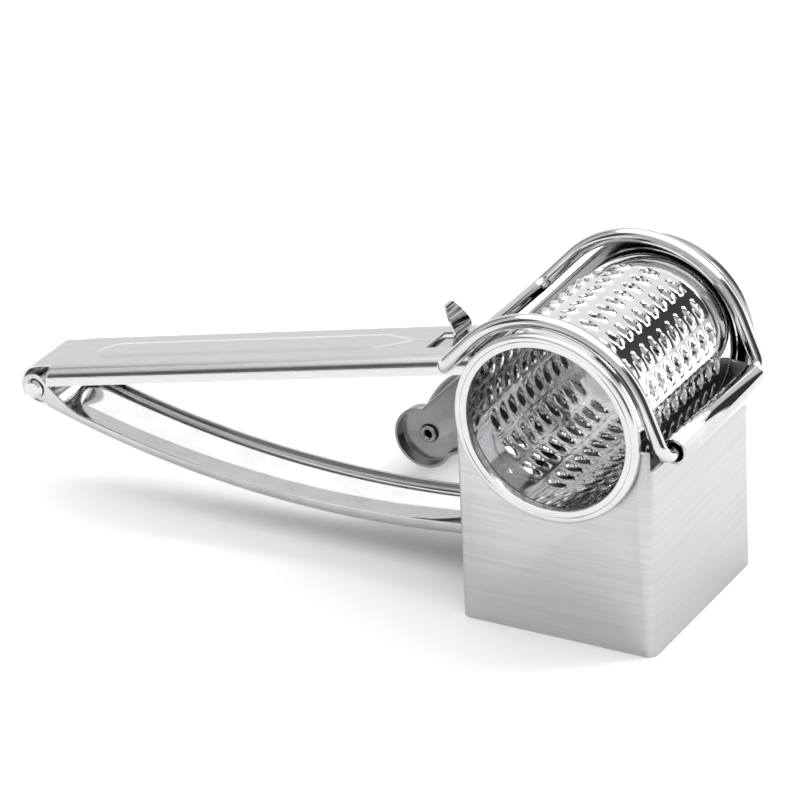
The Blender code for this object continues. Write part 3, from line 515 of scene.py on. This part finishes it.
drumBits = {"radius": 24.0 * mm, "wall": 0.6 * mm, "columns": 18, "rows": 9, "pitch": 5.0 * mm,
            "toothLength": 5.4 * mm, "toothWidth": 3.1 * mm, "lift": 0.55 * mm, "plain": 8.0 * mm,
            "dish": 0.20 * mm, "slant": 0.10, "point": 0.42,
            "bulge": 1.14, "bulgeEdge": 0.16}  # how far a tooth's swelling goes past its opening


def makeBarrel():
    low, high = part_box("drum_barrel")
    radius, columns, rows = drumBits["radius"], drumBits["columns"], drumBits["rows"]
    cellX = 2 * math.pi * radius / columns
    cellY = drumBits["pitch"]
    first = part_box("hopper_box")[0].y + drumBits["plain"]
    # one cell: a square of sheet with a pointed oblong opening, flat before rolling
    bm = bmesh.new()
    bmesh.ops.create_circle(bm, cap_ends=True, segments=16, radius=0.5)
    rim = bmesh.ops.inset_region(bm, faces=bm.faces[:], thickness=0.06, use_boundary=True)
    bmesh.ops.delete(bm, geom=[f for f in bm.faces if f not in rim["faces"]], context="FACES_ONLY")
    half = Vector((drumBits["toothLength"] / 2, drumBits["toothWidth"] / 2, 0))
    for vert in bm.verts:
        across, along = vert.co.x, vert.co.y
        reach = math.hypot(across, along)
        if reach > 0.47:
            square = 0.5 / max(abs(across), abs(along))
            vert.co = Vector((across * square * cellX, along * square * cellY, 0))
        else:
            pointed = 1 - drumBits["point"] * (abs(across) / reach) ** 2.5
            vert.co = Vector((across / reach * half.x, along / reach * half.y * pointed, 0))
    spokes = [e for e in bm.edges if not e.is_boundary]
    bmesh.ops.subdivide_edges(bm, edges=spokes, cuts=2)
    for vert in bm.verts:
        away = math.hypot(vert.co.x / half.x, vert.co.y / half.y)
        near = max(0.0, min(1.0, (drumBits["bulge"] - away) / drumBits["bulgeEdge"]))
        side = max(0.0, min(1.0, 0.5 - vert.co.x / half.x * 0.62))
        vert.co.z = near ** 1.4 * (drumBits["lift"] * side - drumBits["dish"] * (1 - side))
        vert.co.y += near * vert.co.x * drumBits["slant"]
    flat = bmesh.new()
    mesh = bpy.data.meshes.new("cell")
    bm.to_mesh(mesh)
    bm.free()
    for column in range(columns):
        for row in range(rows):
            before = len(flat.verts)
            flat.from_mesh(mesh)
            flat.verts.ensure_lookup_table()
            shift = Vector(((column + 0.5) * cellX, first + (row + 0.5) * cellY, 0))
            bmesh.ops.translate(flat, verts=flat.verts[before:], vec=shift)
    bpy.data.meshes.remove(mesh)
    bmesh.ops.remove_doubles(flat, verts=flat.verts, dist=1e-6)
    # plain bands in front and behind
    for edgeY, endY in ((first, low.y), (first + rows * cellY, high.y)):
        rimEdges = [e for e in flat.edges if e.is_boundary
                    and all(abs(v.co.y - edgeY) < 1e-6 for v in e.verts)]
        liftEdges(flat, rimEdges, (0, endY - edgeY, 0))
    # roll the sheet into a tube
    for vert in flat.verts:
        angle = vert.co.x / radius - math.pi / columns
        reach = radius + vert.co.z
        vert.co = Vector((drumCentre.x + reach * math.cos(angle), vert.co.y,
                          drumCentre.z + reach * math.sin(angle)))
    bmesh.ops.remove_doubles(flat, verts=flat.verts, dist=2e-6)
    bmesh.ops.recalc_face_normals(flat, faces=flat.faces)
    piece = addObject("drumBarrel", flat)
    outward = sum(1 if f.normal.dot(f.center - Vector((drumCentre.x, f.center.y, drumCentre.z))) > 0
                  else -1 for f in piece.data.polygons)
    if outward < 0:
        piece.data.flip_normals()
    sheetMetal(piece, drumBits["wall"], -1)
    finishPiece(piece, finishes["drum"], "drum", ["drum_barrel"], 40)


makeBarrel()


ringBits = {"bore": 23.4 * mm, "rim": 0.9 * mm, "inner": 0.5 * mm, "groove": 1.75 * mm,
            "grooveHalf": 0.15 * mm, "grooveDeep": 0.16 * mm}


def makeRing():
    low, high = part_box("drum_front_ring")
    outer = (high.x - low.x) / 2
    front, back = low.y, high.y
    bore, rim, inner = ringBits["bore"], ringBits["rim"], ringBits["inner"]
    groove, grooveHalf = outer - ringBits["groove"], ringBits["grooveHalf"]
    profile = [(bore, back), (bore, front + inner)]
    profile += [(bore + inner - polar(inner, a)[0], front + inner - polar(inner, a)[1])
                for a in (30, 60, 90)]
    profile += [(groove - grooveHalf, front), (groove, front + ringBits["grooveDeep"]),
                (groove + grooveHalf, front)]
    profile += [(outer - rim + polar(rim, a)[0], front + rim - polar(rim, a)[1])
                for a in (90, 70, 50, 30, 10, 0)]
    profile += [(outer, back - 0.3 * mm), (outer - 0.3 * mm, back)]
    piece = addObject("drumRing", turnedShape(profile, (drumCentre.x, 0, drumCentre.z), 144))
    finishPiece(piece, finishes["ring"], "drum", ["drum_front_ring"], 30)


makeRing()


capBits = {"bore": 2.3 * mm, "step": 0.12 * mm, "stepFrom": 0.72, "stepTo": 0.76}


def makeRearCap():
    low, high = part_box("drum_rear_cap")
    outer = (high.x - low.x) / 2
    bore, step = capBits["bore"], capBits["step"]
    profile = [(bore, low.y), (outer * capBits["stepFrom"], low.y),
               (outer * capBits["stepTo"], low.y + step),
               (outer - 0.4 * mm, low.y + step), (outer, low.y + 0.4 * mm),
               (outer, high.y - 0.2 * mm), (outer - 0.2 * mm, high.y), (bore, high.y)]
    piece = addObject("drumRearCap", turnedShape(profile, (drumCentre.x, 0, drumCentre.z), 96))
    finishPiece(piece, finishes["drum"], "drum", ["drum_rear_cap"], 30)


makeRearCap()
print("drum made")


crankBits = {"hub": 27.0 * mm, "end": 9.3 * mm, "neck": 6.4 * mm, "sheet": 0.9 * mm,
             "lip": 3.4 * mm, "bend": 1.0 * mm, "hubHole": 2.3 * mm, "pinHole": 2.2 * mm,
             "edge": 0.18 * mm}


def makeCrank():
    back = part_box("crank_arm")[1].y
    knobAt = jointAt("knob_spin")
    run = Vector((knobAt.x - drumCentre.x, 0, knobAt.z - drumCentre.z))
    length = run.length
    taper = math.asin((crankBits["hub"] - crankBits["neck"]) / length)
    reach = math.sqrt(crankBits["end"] ** 2 - crankBits["neck"] ** 2)
    neckTurn = math.degrees(math.atan2(crankBits["neck"], -reach) - taper)
    hubTurn = 90 - math.degrees(taper)
    bm = bmesh.new()
    outline = []
    for centreX, radius, first, last, steps in ((0, crankBits["hub"], hubTurn, 360 - hubTurn, 60),
                                                (length, crankBits["end"], -neckTurn, neckTurn, 44)):
        for i in range(steps + 1):
            u, v = polar(radius, first + (last - first) * i / steps)
            outline.append(bm.verts.new((centreX + u, 0, v)))
    plate = bm.faces.new(outline)
    # the plate's rim is turned forwards into a lip
    liftEdges(bm, bm.edges[:], (0, -(crankBits["lip"] + crankBits["sheet"]), 0))
    roundEdges(bm, plate.edges[:], crankBits["bend"], 4)
    bmesh.ops.recalc_face_normals(bm, faces=bm.faces)
    largest = max(bm.faces, key=lambda f: f.calc_area())
    if largest.normal.y < 0:
        bmesh.ops.reverse_faces(bm, faces=bm.faces)
    tilt = math.degrees(math.atan2(run.z, run.x))
    turnAll(bm, -tilt, "Y")
    moveAll(bm, (drumCentre.x, back, drumCentre.z))
    piece = addObject("crankPlate", bm)
    sheetMetal(piece, crankBits["sheet"], -1)
    bakeModifiers(piece)
    cutWith(piece, [rodShape((drumCentre.x, back, drumCentre.z), crankBits["hubHole"], 6 * mm),
                    rodShape((knobAt.x, back, knobAt.z), crankBits["pinHole"], 6 * mm)])
    softEdges(piece, crankBits["edge"], 2, 60)
    finishPiece(piece, finishes["crank"], "drum", ["crank_arm"])


makeCrank()


pinBits = {"hole": 1.05 * mm, "holeDeep": 5 * mm, "flareWide": 0.9 * mm, "flareDeep": 1.0 * mm,
           "flare": 2.7 * mm, "shank": 1.9 * mm, "head": 3.3 * mm}


def makeKnobPin():
    # hollow rivet: its flare sits in the crank's dish
    low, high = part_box("knob_pin")
    knobAt = jointAt("knob_spin")
    near, far = low.y, high.y
    hole, shank, head, flare = (pinBits[name] for name in ("hole", "shank", "head", "flare"))
    profile = [(0, near + pinBits["holeDeep"]), (hole, near + pinBits["holeDeep"]), (hole, near + 1.1 * mm)]
    profile += [(hole + pinBits["flareWide"] * (1 - math.cos(math.radians(a))),
                 near + 1.1 * mm - pinBits["flareDeep"] * math.sin(math.radians(a)))
                for a in (25, 50, 75, 90)]
    profile += [(flare - 0.4 * mm, near + 0.15 * mm), (flare - 0.1 * mm, near + 0.4 * mm),
                (flare, near + 0.7 * mm), (shank, near + 0.7 * mm), (shank, far - 1.0 * mm),
                (head, far - 1.0 * mm), (head, far - 0.2 * mm), (head - 0.3 * mm, far), (0, far)]
    piece = addObject("knobPin", turnedShape(profile, (knobAt.x, 0, knobAt.z), 48))
    finishPiece(piece, finishes["crank"], "drum", ["knob_pin"], 40)


makeKnobPin()


knobBits = {"bore": 2.0 * mm, "cup": 4.0 * mm, "cupDeep": 4.5 * mm, "waist": 0.72, "round": 4 * mm,
            "neck": 0.8 * mm}


def makeKnob():
    low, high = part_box("knob")
    knobAt = jointAt("knob_spin")
    full = (high.x - low.x) / 2
    front, back = low.y, high.y
    bore, cup, neck, curve = knobBits["bore"], knobBits["cup"], knobBits["neck"], knobBits["round"]
    seat = back - knobBits["cupDeep"]
    waist = full * knobBits["waist"]
    profile = [(bore, front), (full * 0.62, front), (full * 0.68, front + 0.15 * mm),
               (full * 0.70, front + neck)]
    for i in range(1, 12):
        share = i / 12
        swell = waist + (full - waist) * math.sin(math.pi / 2 * share) ** 2
        profile.append((swell, front + neck + (back - front - neck - curve) * share))
    profile += [(full - curve + polar(curve, a)[0], back - curve + polar(curve, a)[1])
                for a in (0, 15, 30, 45, 60, 75)]
    profile += [(cup + 0.3 * mm, back), (cup, back - 0.2 * mm), (cup, seat), (bore, seat)]
    piece = addObject("knobGrip", turnedShape(profile, (knobAt.x, 0, knobAt.z), 72))
    finishPiece(piece, finishes["knob"], "knob", ["knob"], 30)


makeKnob()
print("crank made")


def foldedSection(share, half, radius, height, lean):
    # half of a channel's section: dished base, rounded fold, straight flange, as (y, z)
    tilt = math.radians(lean)
    flat = half - radius * (1 - math.sin(tilt))
    dish = flat * math.tan(tilt) / 2
    if share <= 0.5:
        return flat * share / 0.5, dish * (share / 0.5) ** 2
    if share <= 0.85:
        angle = tilt + (math.pi / 2 - tilt) * (share - 0.5) / 0.35
        return (flat - radius * math.sin(tilt) + radius * math.sin(angle),
                dish + radius * (math.cos(tilt) - math.cos(angle)))
    top = dish + radius * math.cos(tilt)
    return half, top + (height - top) * (share - 0.85) / 0.15


armBits = {"sheet": 0.7 * mm, "slope": 0.226, "rootZ": 70.0 * mm, "flange": 5.1 * mm, "fold": 3.6 * mm,
           "roll": 6.0 * mm, "ribWidth": 10.5 * mm, "ribRise": 0.36 * mm, "ribRoot": 26 * mm,
           "ribHinge": 15.5 * mm, "ribPoint": 13 * mm, "ribSide": 1.4 * mm, "windowFar": 21.5 * mm,
           "windowNear": 11.8 * mm, "windowHalf": 5.2 * mm, "foot": 16.5 * mm, "footBend": 0.9 * mm,
           "rollSweep": 210, "edge": 0.14 * mm}
hinge = jointAt("lever_fold")
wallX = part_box("hopper_box")[0].x


def handleTop(x):
    return armBits["rootZ"] - armBits["slope"] * (wallX - x)


def ribShare(x, y):
    # 1 on the raised rib, 0 outside it: round at the hinge, pointed at the hopper
    half = armBits["ribWidth"] / 2
    root, end = wallX - armBits["ribRoot"], hinge.x + armBits["ribHinge"]
    if x > root or x < end:
        return 0.0
    half *= min(1.0, (root - x) / armBits["ribPoint"])
    back = max(0.0, end + armBits["ribWidth"] / 2 - x)
    half = min(half, math.sqrt(max(0.0, (armBits["ribWidth"] / 2) ** 2 - back ** 2)))
    return max(0.0, min(1.0, (half - abs(y)) / armBits["ribSide"]))


def makeHandle():
    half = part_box("fixed_handle")[1].y
    start = hinge.x + 4.7 * mm
    foot = wallX - 0.3 * mm
    bm = bmesh.new()
    bmesh.ops.create_grid(bm, x_segments=150, y_segments=80, size=0.5)
    drop = armBits["flange"] / math.cos(math.atan(armBits["slope"]))
    for vert in bm.verts:
        x = (foot + start) / 2 + vert.co.x * (foot - start)
        y, z = foldedSection(abs(vert.co.y) * 2, half, armBits["fold"], drop, 0)
        y = math.copysign(y, vert.co.y)
        vert.co = Vector((x, y, handleTop(x) - z + armBits["ribRise"] * ribShare(x, y)))
    # rolled end: the strip between the flanges goes on round the hinge
    lane = half - armBits["fold"]
    ends = [e for e in bm.edges if e.is_boundary and all(abs(v.co.x - start) < 1e-6 for v in e.verts)
            and all(abs(v.co.y) <= lane + 1e-4 for v in e.verts)]
    tangentX = hinge.x - armBits["roll"] * math.sin(math.atan(armBits["slope"]))
    lifted = bmesh.ops.extrude_edge_only(bm, edges=ends)["geom"]
    verts = liftedVerts(lifted)
    edges = [e for e in lifted if isinstance(e, bmesh.types.BMEdge)]
    for vert in verts:
        vert.co.x = tangentX
        vert.co.z = handleTop(tangentX)
    bmesh.ops.spin(bm, geom=verts + edges, cent=hinge, axis=(0, -1, 0),
                   angle=math.radians(armBits["rollSweep"]), steps=30)
    # foot: the strip turns down the hopper's wall
    ends = [e for e in bm.edges if e.is_boundary and all(abs(v.co.x - foot) < 1e-6 for v in e.verts)
            and all(abs(v.co.y) <= lane + 1e-4 for v in e.verts)]
    liftEdges(bm, ends, (0, 0, -armBits["foot"]))
    roundEdges(bm, [e for e in ends if e.is_valid], armBits["footBend"], 3)
    bmesh.ops.remove_doubles(bm, verts=bm.verts, dist=1e-7)
    bmesh.ops.recalc_face_normals(bm, faces=bm.faces)
    piece = addObject("fixedHandle", bm)
    topFace = max(piece.data.polygons, key=lambda f: f.center.z if abs(f.center.y) < 2 * mm else -1)
    if topFace.normal.z < 0:
        piece.data.flip_normals()
    sheetMetal(piece, armBits["sheet"], -1)
    bakeModifiers(piece)
    cutWith(piece, [boxShape((wallX - armBits["windowFar"], -armBits["windowHalf"], 0.05),
                             (wallX - armBits["windowNear"], armBits["windowHalf"], 0.09))])
    softEdges(piece, armBits["edge"], 2, 60)
    finishPiece(piece, finishes["satin"], "hopper", ["fixed_handle"])


makeHandle()
print("handle made")


latchBits = {"sheet": 0.6 * mm, "width": 9.0 * mm, "foot": 13.8 * mm, "noseX": 13.0 * mm,
             "noseZ": 70.4 * mm, "tipX": 16.8 * mm, "tipZ": 76.6 * mm}


def makeLatch():
    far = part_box("latch_spring")[0].x
    foot, nose = wallX - latchBits["foot"], wallX - latchBits["noseX"]
    ridge, tipZ = latchBits["noseZ"], latchBits["tipZ"]
    tip = wallX - latchBits["tipX"]
    drop = armBits["sheet"] + 0.3 * mm
    # x, z and share of the full width along the strip
    side = [(far, handleTop(far) - drop, 0.89), (foot - 4 * mm, handleTop(foot - 4 * mm) - drop, 0.89),
            (foot - 1.2 * mm, handleTop(foot - 1.2 * mm) - drop, 0.89),
            (foot - 0.2 * mm, handleTop(foot) - drop * 0.3, 0.89),
            (foot + 0.1 * mm, handleTop(foot) + 1.2 * mm, 0.90),
            (nose - 0.1 * mm, ridge - 0.9 * mm, 0.98), (nose, ridge, 1.0),
            (nose - 0.6 * mm, ridge + 1.0 * mm, 1.0),
            ((nose + tip) / 2 - 0.1 * mm, (ridge + tipZ) / 2 + 0.2 * mm, 0.86),
            (tip + 0.5 * mm, tipZ - 1.4 * mm, 0.64), (tip, tipZ - 0.1 * mm, 0.50),
            (tip - 0.6 * mm, tipZ - 0.2 * mm, 0.36)]
    bm = bmesh.new()
    middle = [bm.verts.new((x, 0, z)) for x, z, share in side]
    edges = [bm.edges.new(pair) for pair in zip(middle, middle[1:])]
    widths = {v: share for v, (x, z, share) in zip(middle, side)}
    half = latchBits["width"] / 2
    lifted = bmesh.ops.extrude_edge_only(bm, edges=edges)["geom"]
    for vert in liftedVerts(lifted):
        start = min(middle, key=lambda m: (m.co - vert.co).length)
        vert.co.y = half * widths[start]
    for vert in middle:
        vert.co.y = -half * widths[vert]
    bmesh.ops.subdivide_edges(bm, edges=[e for e in bm.edges if not e.is_boundary
                                         or abs(e.verts[0].co.y + e.verts[1].co.y) < 1e-6], cuts=5)
    bmesh.ops.recalc_face_normals(bm, faces=bm.faces)
    piece = addObject("latchTongue", bm)
    strap = min(piece.data.polygons, key=lambda f: f.center.x)
    if strap.normal.z > 0:
        piece.data.flip_normals()
    smooth = piece.modifiers.new("smooth", "SUBSURF")
    smooth.levels = 2
    smooth.render_levels = 2
    smooth.boundary_smooth = "PRESERVE_CORNERS"
    sheetMetal(piece, latchBits["sheet"], 1)
    finishPiece(piece, finishes["polished"], "latch", ["latch_spring"], 50)


makeLatch()
print("latch made")


leverBits = {"sheet": 0.7 * mm, "flange": 5.3 * mm, "fold": 3.4 * mm, "bow": 320 * mm, "lowX": 50 * mm,
             "lowZ": 9.1 * mm, "inside": 15 * mm, "ear": 4.3 * mm, "pin": 2.3 * mm, "lean": 16,
             "earRun": 12 * mm, "earLap": 10 * mm, "flatFrom": 2 * mm, "flatRun": 10 * mm,
             "edge": 0.14 * mm}


def leverBottom(x):
    run = x - (wallX - leverBits["lowX"])
    return leverBits["lowZ"] + leverBits["bow"] - math.sqrt(leverBits["bow"] ** 2 - run ** 2)


def makeLever():
    half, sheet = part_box("lever_arm")[1].y, leverBits["sheet"]
    start, end = hinge.x + 3.5 * mm, wallX + leverBits["inside"]
    bm = bmesh.new()
    bmesh.ops.create_grid(bm, x_segments=120, y_segments=64, size=0.5)
    rise = hinge.z + 2.5 * mm - leverBottom(start) - leverBits["flange"]
    for vert in bm.verts:
        x = (end + start) / 2 + vert.co.x * (end - start)
        # the base is dished along the grip and flat where the presser's bracket sits
        fade = max(0.0, min(1.0, (wallX - leverBits["flatFrom"] - x) / leverBits["flatRun"]))
        ear = max(0.0, 1 - (x - start) / leverBits["earRun"])
        height = leverBits["flange"] + rise * ear ** 2
        y, z = foldedSection(abs(vert.co.y) * 2, half, leverBits["fold"], height, leverBits["lean"] * fade)
        vert.co = Vector((x, math.copysign(y, vert.co.y), leverBottom(x) + z))
    bmesh.ops.recalc_face_normals(bm, faces=bm.faces)
    piece = addObject("leverArm", bm)
    base = min(piece.data.polygons, key=lambda f: f.center.z)
    if base.normal.z > 0:
        piece.data.flip_normals()
    sheetMetal(piece, sheet, -1)
    bakeModifiers(piece)
    ears = []
    for y in (-half, half - sheet):
        ear = bmesh.new()
        outline = []
        for i in range(31):
            u, v = polar(leverBits["ear"], 20 + 195 * i / 30)
            outline.append(ear.verts.new((hinge.x + u, y, hinge.z + v)))
        lapX = start + leverBits["earLap"]
        outline.append(ear.verts.new((start - 0.2 * mm, y, leverBottom(start) + 4.2 * mm)))
        outline.append(ear.verts.new((lapX, y, leverBottom(lapX) + 4.6 * mm)))
        ear.faces.new(outline)
        lifted = bmesh.ops.extrude_face_region(ear, geom=ear.faces[:])["geom"]
        bmesh.ops.translate(ear, verts=liftedVerts(lifted), vec=(0, sheet, 0))
        bmesh.ops.recalc_face_normals(ear, faces=ear.faces)
        ears.append(ear)
    cutWith(piece, ears, "UNION")
    cutWith(piece, [rodShape(hinge, leverBits["pin"], 0.04)])
    softEdges(piece, leverBits["edge"], 2, 60)
    finishPiece(piece, finishes["polished"], "lever", ["lever_arm"])


makeLever()
print("lever made")


for node in ("hub_spacer", "hub_bolt", "hub_nut", "knob_washer", "handle_rivet_front",
             "handle_rivet_rear", "hinge_pin", "hinge_bushing", "presser_bracket",
             "bracket_rivet_outer", "bracket_rivet_inner", "presser_plate",
             "presser_rivet_front", "presser_rivet_rear", "knob_cap"):
    carried = frame["nodes"][node]
    carried.data.materials.clear()
    carried.data.materials.append(finishes["knob"] if node == "knob_cap" else finishes["satin"])


stageBits = {"floorSize": 8.0, "floorTone": 0.92, "topPower": 72, "topHeight": 2.5, "topSize": 5.0,
             "sidePower": 16, "sideSize": 0.7,
             # room tone by compass angle: 0 is behind the grater, 90 to its right
             "roomTones": [(-180, 0.75), (-149, 0.75), (-145, 0.08), (-132, 0.08), (-126, 0.85),
                           (-95, 0.80), (-88, 0.25), (-74, 0.25), (-66, 0.90), (-30, 1.00), (9, 1.00),
                           (14, 0.06), (34, 0.06), (37, 1.7), (64, 1.7), (70, 0.10), (120, 0.06),
                           (132, 0.50), (155, 0.80), (180, 0.75)],
             "skyStart": 0.66, "skyBlend": 0.08, "skyTone": 1.0}
cameraBits = {"place": (0.5055, -1.0190, 0.6289), "azimuth": 0.5294, "elevation": 0.4596,
              "roll": -0.0498, "lens": 216.6, "sensor": 36}


def plainMaterial(name, tone, rough):
    material = bpy.data.materials.new(name)
    material.use_nodes = True
    shader = material.node_tree.nodes["Principled BSDF"]
    shader.inputs["Base Color"].default_value = (tone, tone, tone, 1)
    shader.inputs["Roughness"].default_value = rough
    return material


def makeFloor():
    bm = bmesh.new()
    bmesh.ops.create_grid(bm, x_segments=1, y_segments=1, size=stageBits["floorSize"] / 2)
    floor = addObject("floor", bm)
    floor.data.materials.append(plainMaterial("floorPale", stageBits["floorTone"], 0.9))


def makeLight(name, place, aim, size, power):
    data = bpy.data.lights.new(name, "AREA")
    data.shape = "RECTANGLE"
    data.size, data.size_y = size
    data.energy = power
    lamp = bpy.data.objects.new(name, data)
    lamp.location = place
    lamp.rotation_euler = (Vector(aim) - Vector(place)).to_track_quat("-Z", "Y").to_euler()
    bpy.context.scene.collection.objects.link(lamp)


def makeWorld():
    world = bpy.data.worlds.new("studio")
    bpy.context.scene.world = world
    world.use_nodes = True
    tree = world.node_tree
    coords = tree.nodes.new("ShaderNodeTexCoord")
    split = tree.nodes.new("ShaderNodeSeparateXYZ")
    tree.links.new(coords.outputs["Generated"], split.inputs[0])
    compass = addNode(tree, "ShaderNodeMath", operation="ARCTAN2")
    tree.links.new(split.outputs["X"], compass.inputs[0])
    tree.links.new(split.outputs["Y"], compass.inputs[1])
    share = tree.nodes.new("ShaderNodeMapRange")
    share.inputs["From Min"].default_value = -math.pi
    share.inputs["From Max"].default_value = math.pi
    tree.links.new(compass.outputs[0], share.inputs["Value"])
    room = tree.nodes.new("ShaderNodeValToRGB")
    stops = room.color_ramp.elements
    tones = stageBits["roomTones"]
    for i, (angle, tone) in enumerate(tones):
        place = (angle + 180) / 360
        if i == 0:
            stop = stops[0]
        elif i == len(tones) - 1:
            stop = stops[-1]
        else:
            stop = stops.new(place)
        stop.position = place
        stop.color = (tone, tone, tone, 1)
    tree.links.new(share.outputs[0], room.inputs["Fac"])
    sky = tree.nodes.new("ShaderNodeMapRange")
    sky.interpolation_type = "SMOOTHSTEP"
    sky.inputs["From Min"].default_value = stageBits["skyStart"] - stageBits["skyBlend"]
    sky.inputs["From Max"].default_value = stageBits["skyStart"] + stageBits["skyBlend"]
    tree.links.new(split.outputs["Z"], sky.inputs["Value"])
    blend = addNode(tree, "ShaderNodeMix", data_type="RGBA")
    blend.inputs[7].default_value = (stageBits["skyTone"],) * 3 + (1,)
    tree.links.new(sky.outputs[0], blend.inputs[0])
    tree.links.new(room.outputs["Color"], blend.inputs[6])
    tree.links.new(blend.outputs[2], tree.nodes["Background"].inputs["Color"])


def makeCamera():
    data = bpy.data.cameras.new("camera")
    camera = bpy.data.objects.new("camera", data)
    azimuth, elevation, roll = (cameraBits[name] for name in ("azimuth", "elevation", "roll"))
    ahead = Vector((-math.sin(azimuth) * math.cos(elevation), math.cos(azimuth) * math.cos(elevation),
                    -math.sin(elevation)))
    level = Vector((math.cos(azimuth), math.sin(azimuth), 0))
    above = level.cross(ahead)
    right = math.cos(roll) * level + math.sin(roll) * above
    up = right.cross(ahead)
    camera.matrix_world = Matrix.Translation(cameraBits["place"]) @ Matrix(
        (right, up, -ahead)).transposed().to_4x4()
    data.sensor_width = cameraBits["sensor"]
    data.lens = cameraBits["lens"]
    data.clip_start, data.clip_end = 0.05, 20
    bpy.context.scene.collection.objects.link(camera)
    bpy.context.scene.camera = camera


makeFloor()
makeWorld()
makeCamera()
makeLight("topBox", (0, 0.3, stageBits["topHeight"]), (0, 0.3, 0), (stageBits["topSize"],) * 2,
          stageBits["topPower"])
makeLight("sideBox", (0.95, 1.0, 1.5), drumCentre, (stageBits["sideSize"],) * 2, stageBits["sidePower"])
bpy.context.scene.view_settings.view_transform = "Standard"
print("stage made")
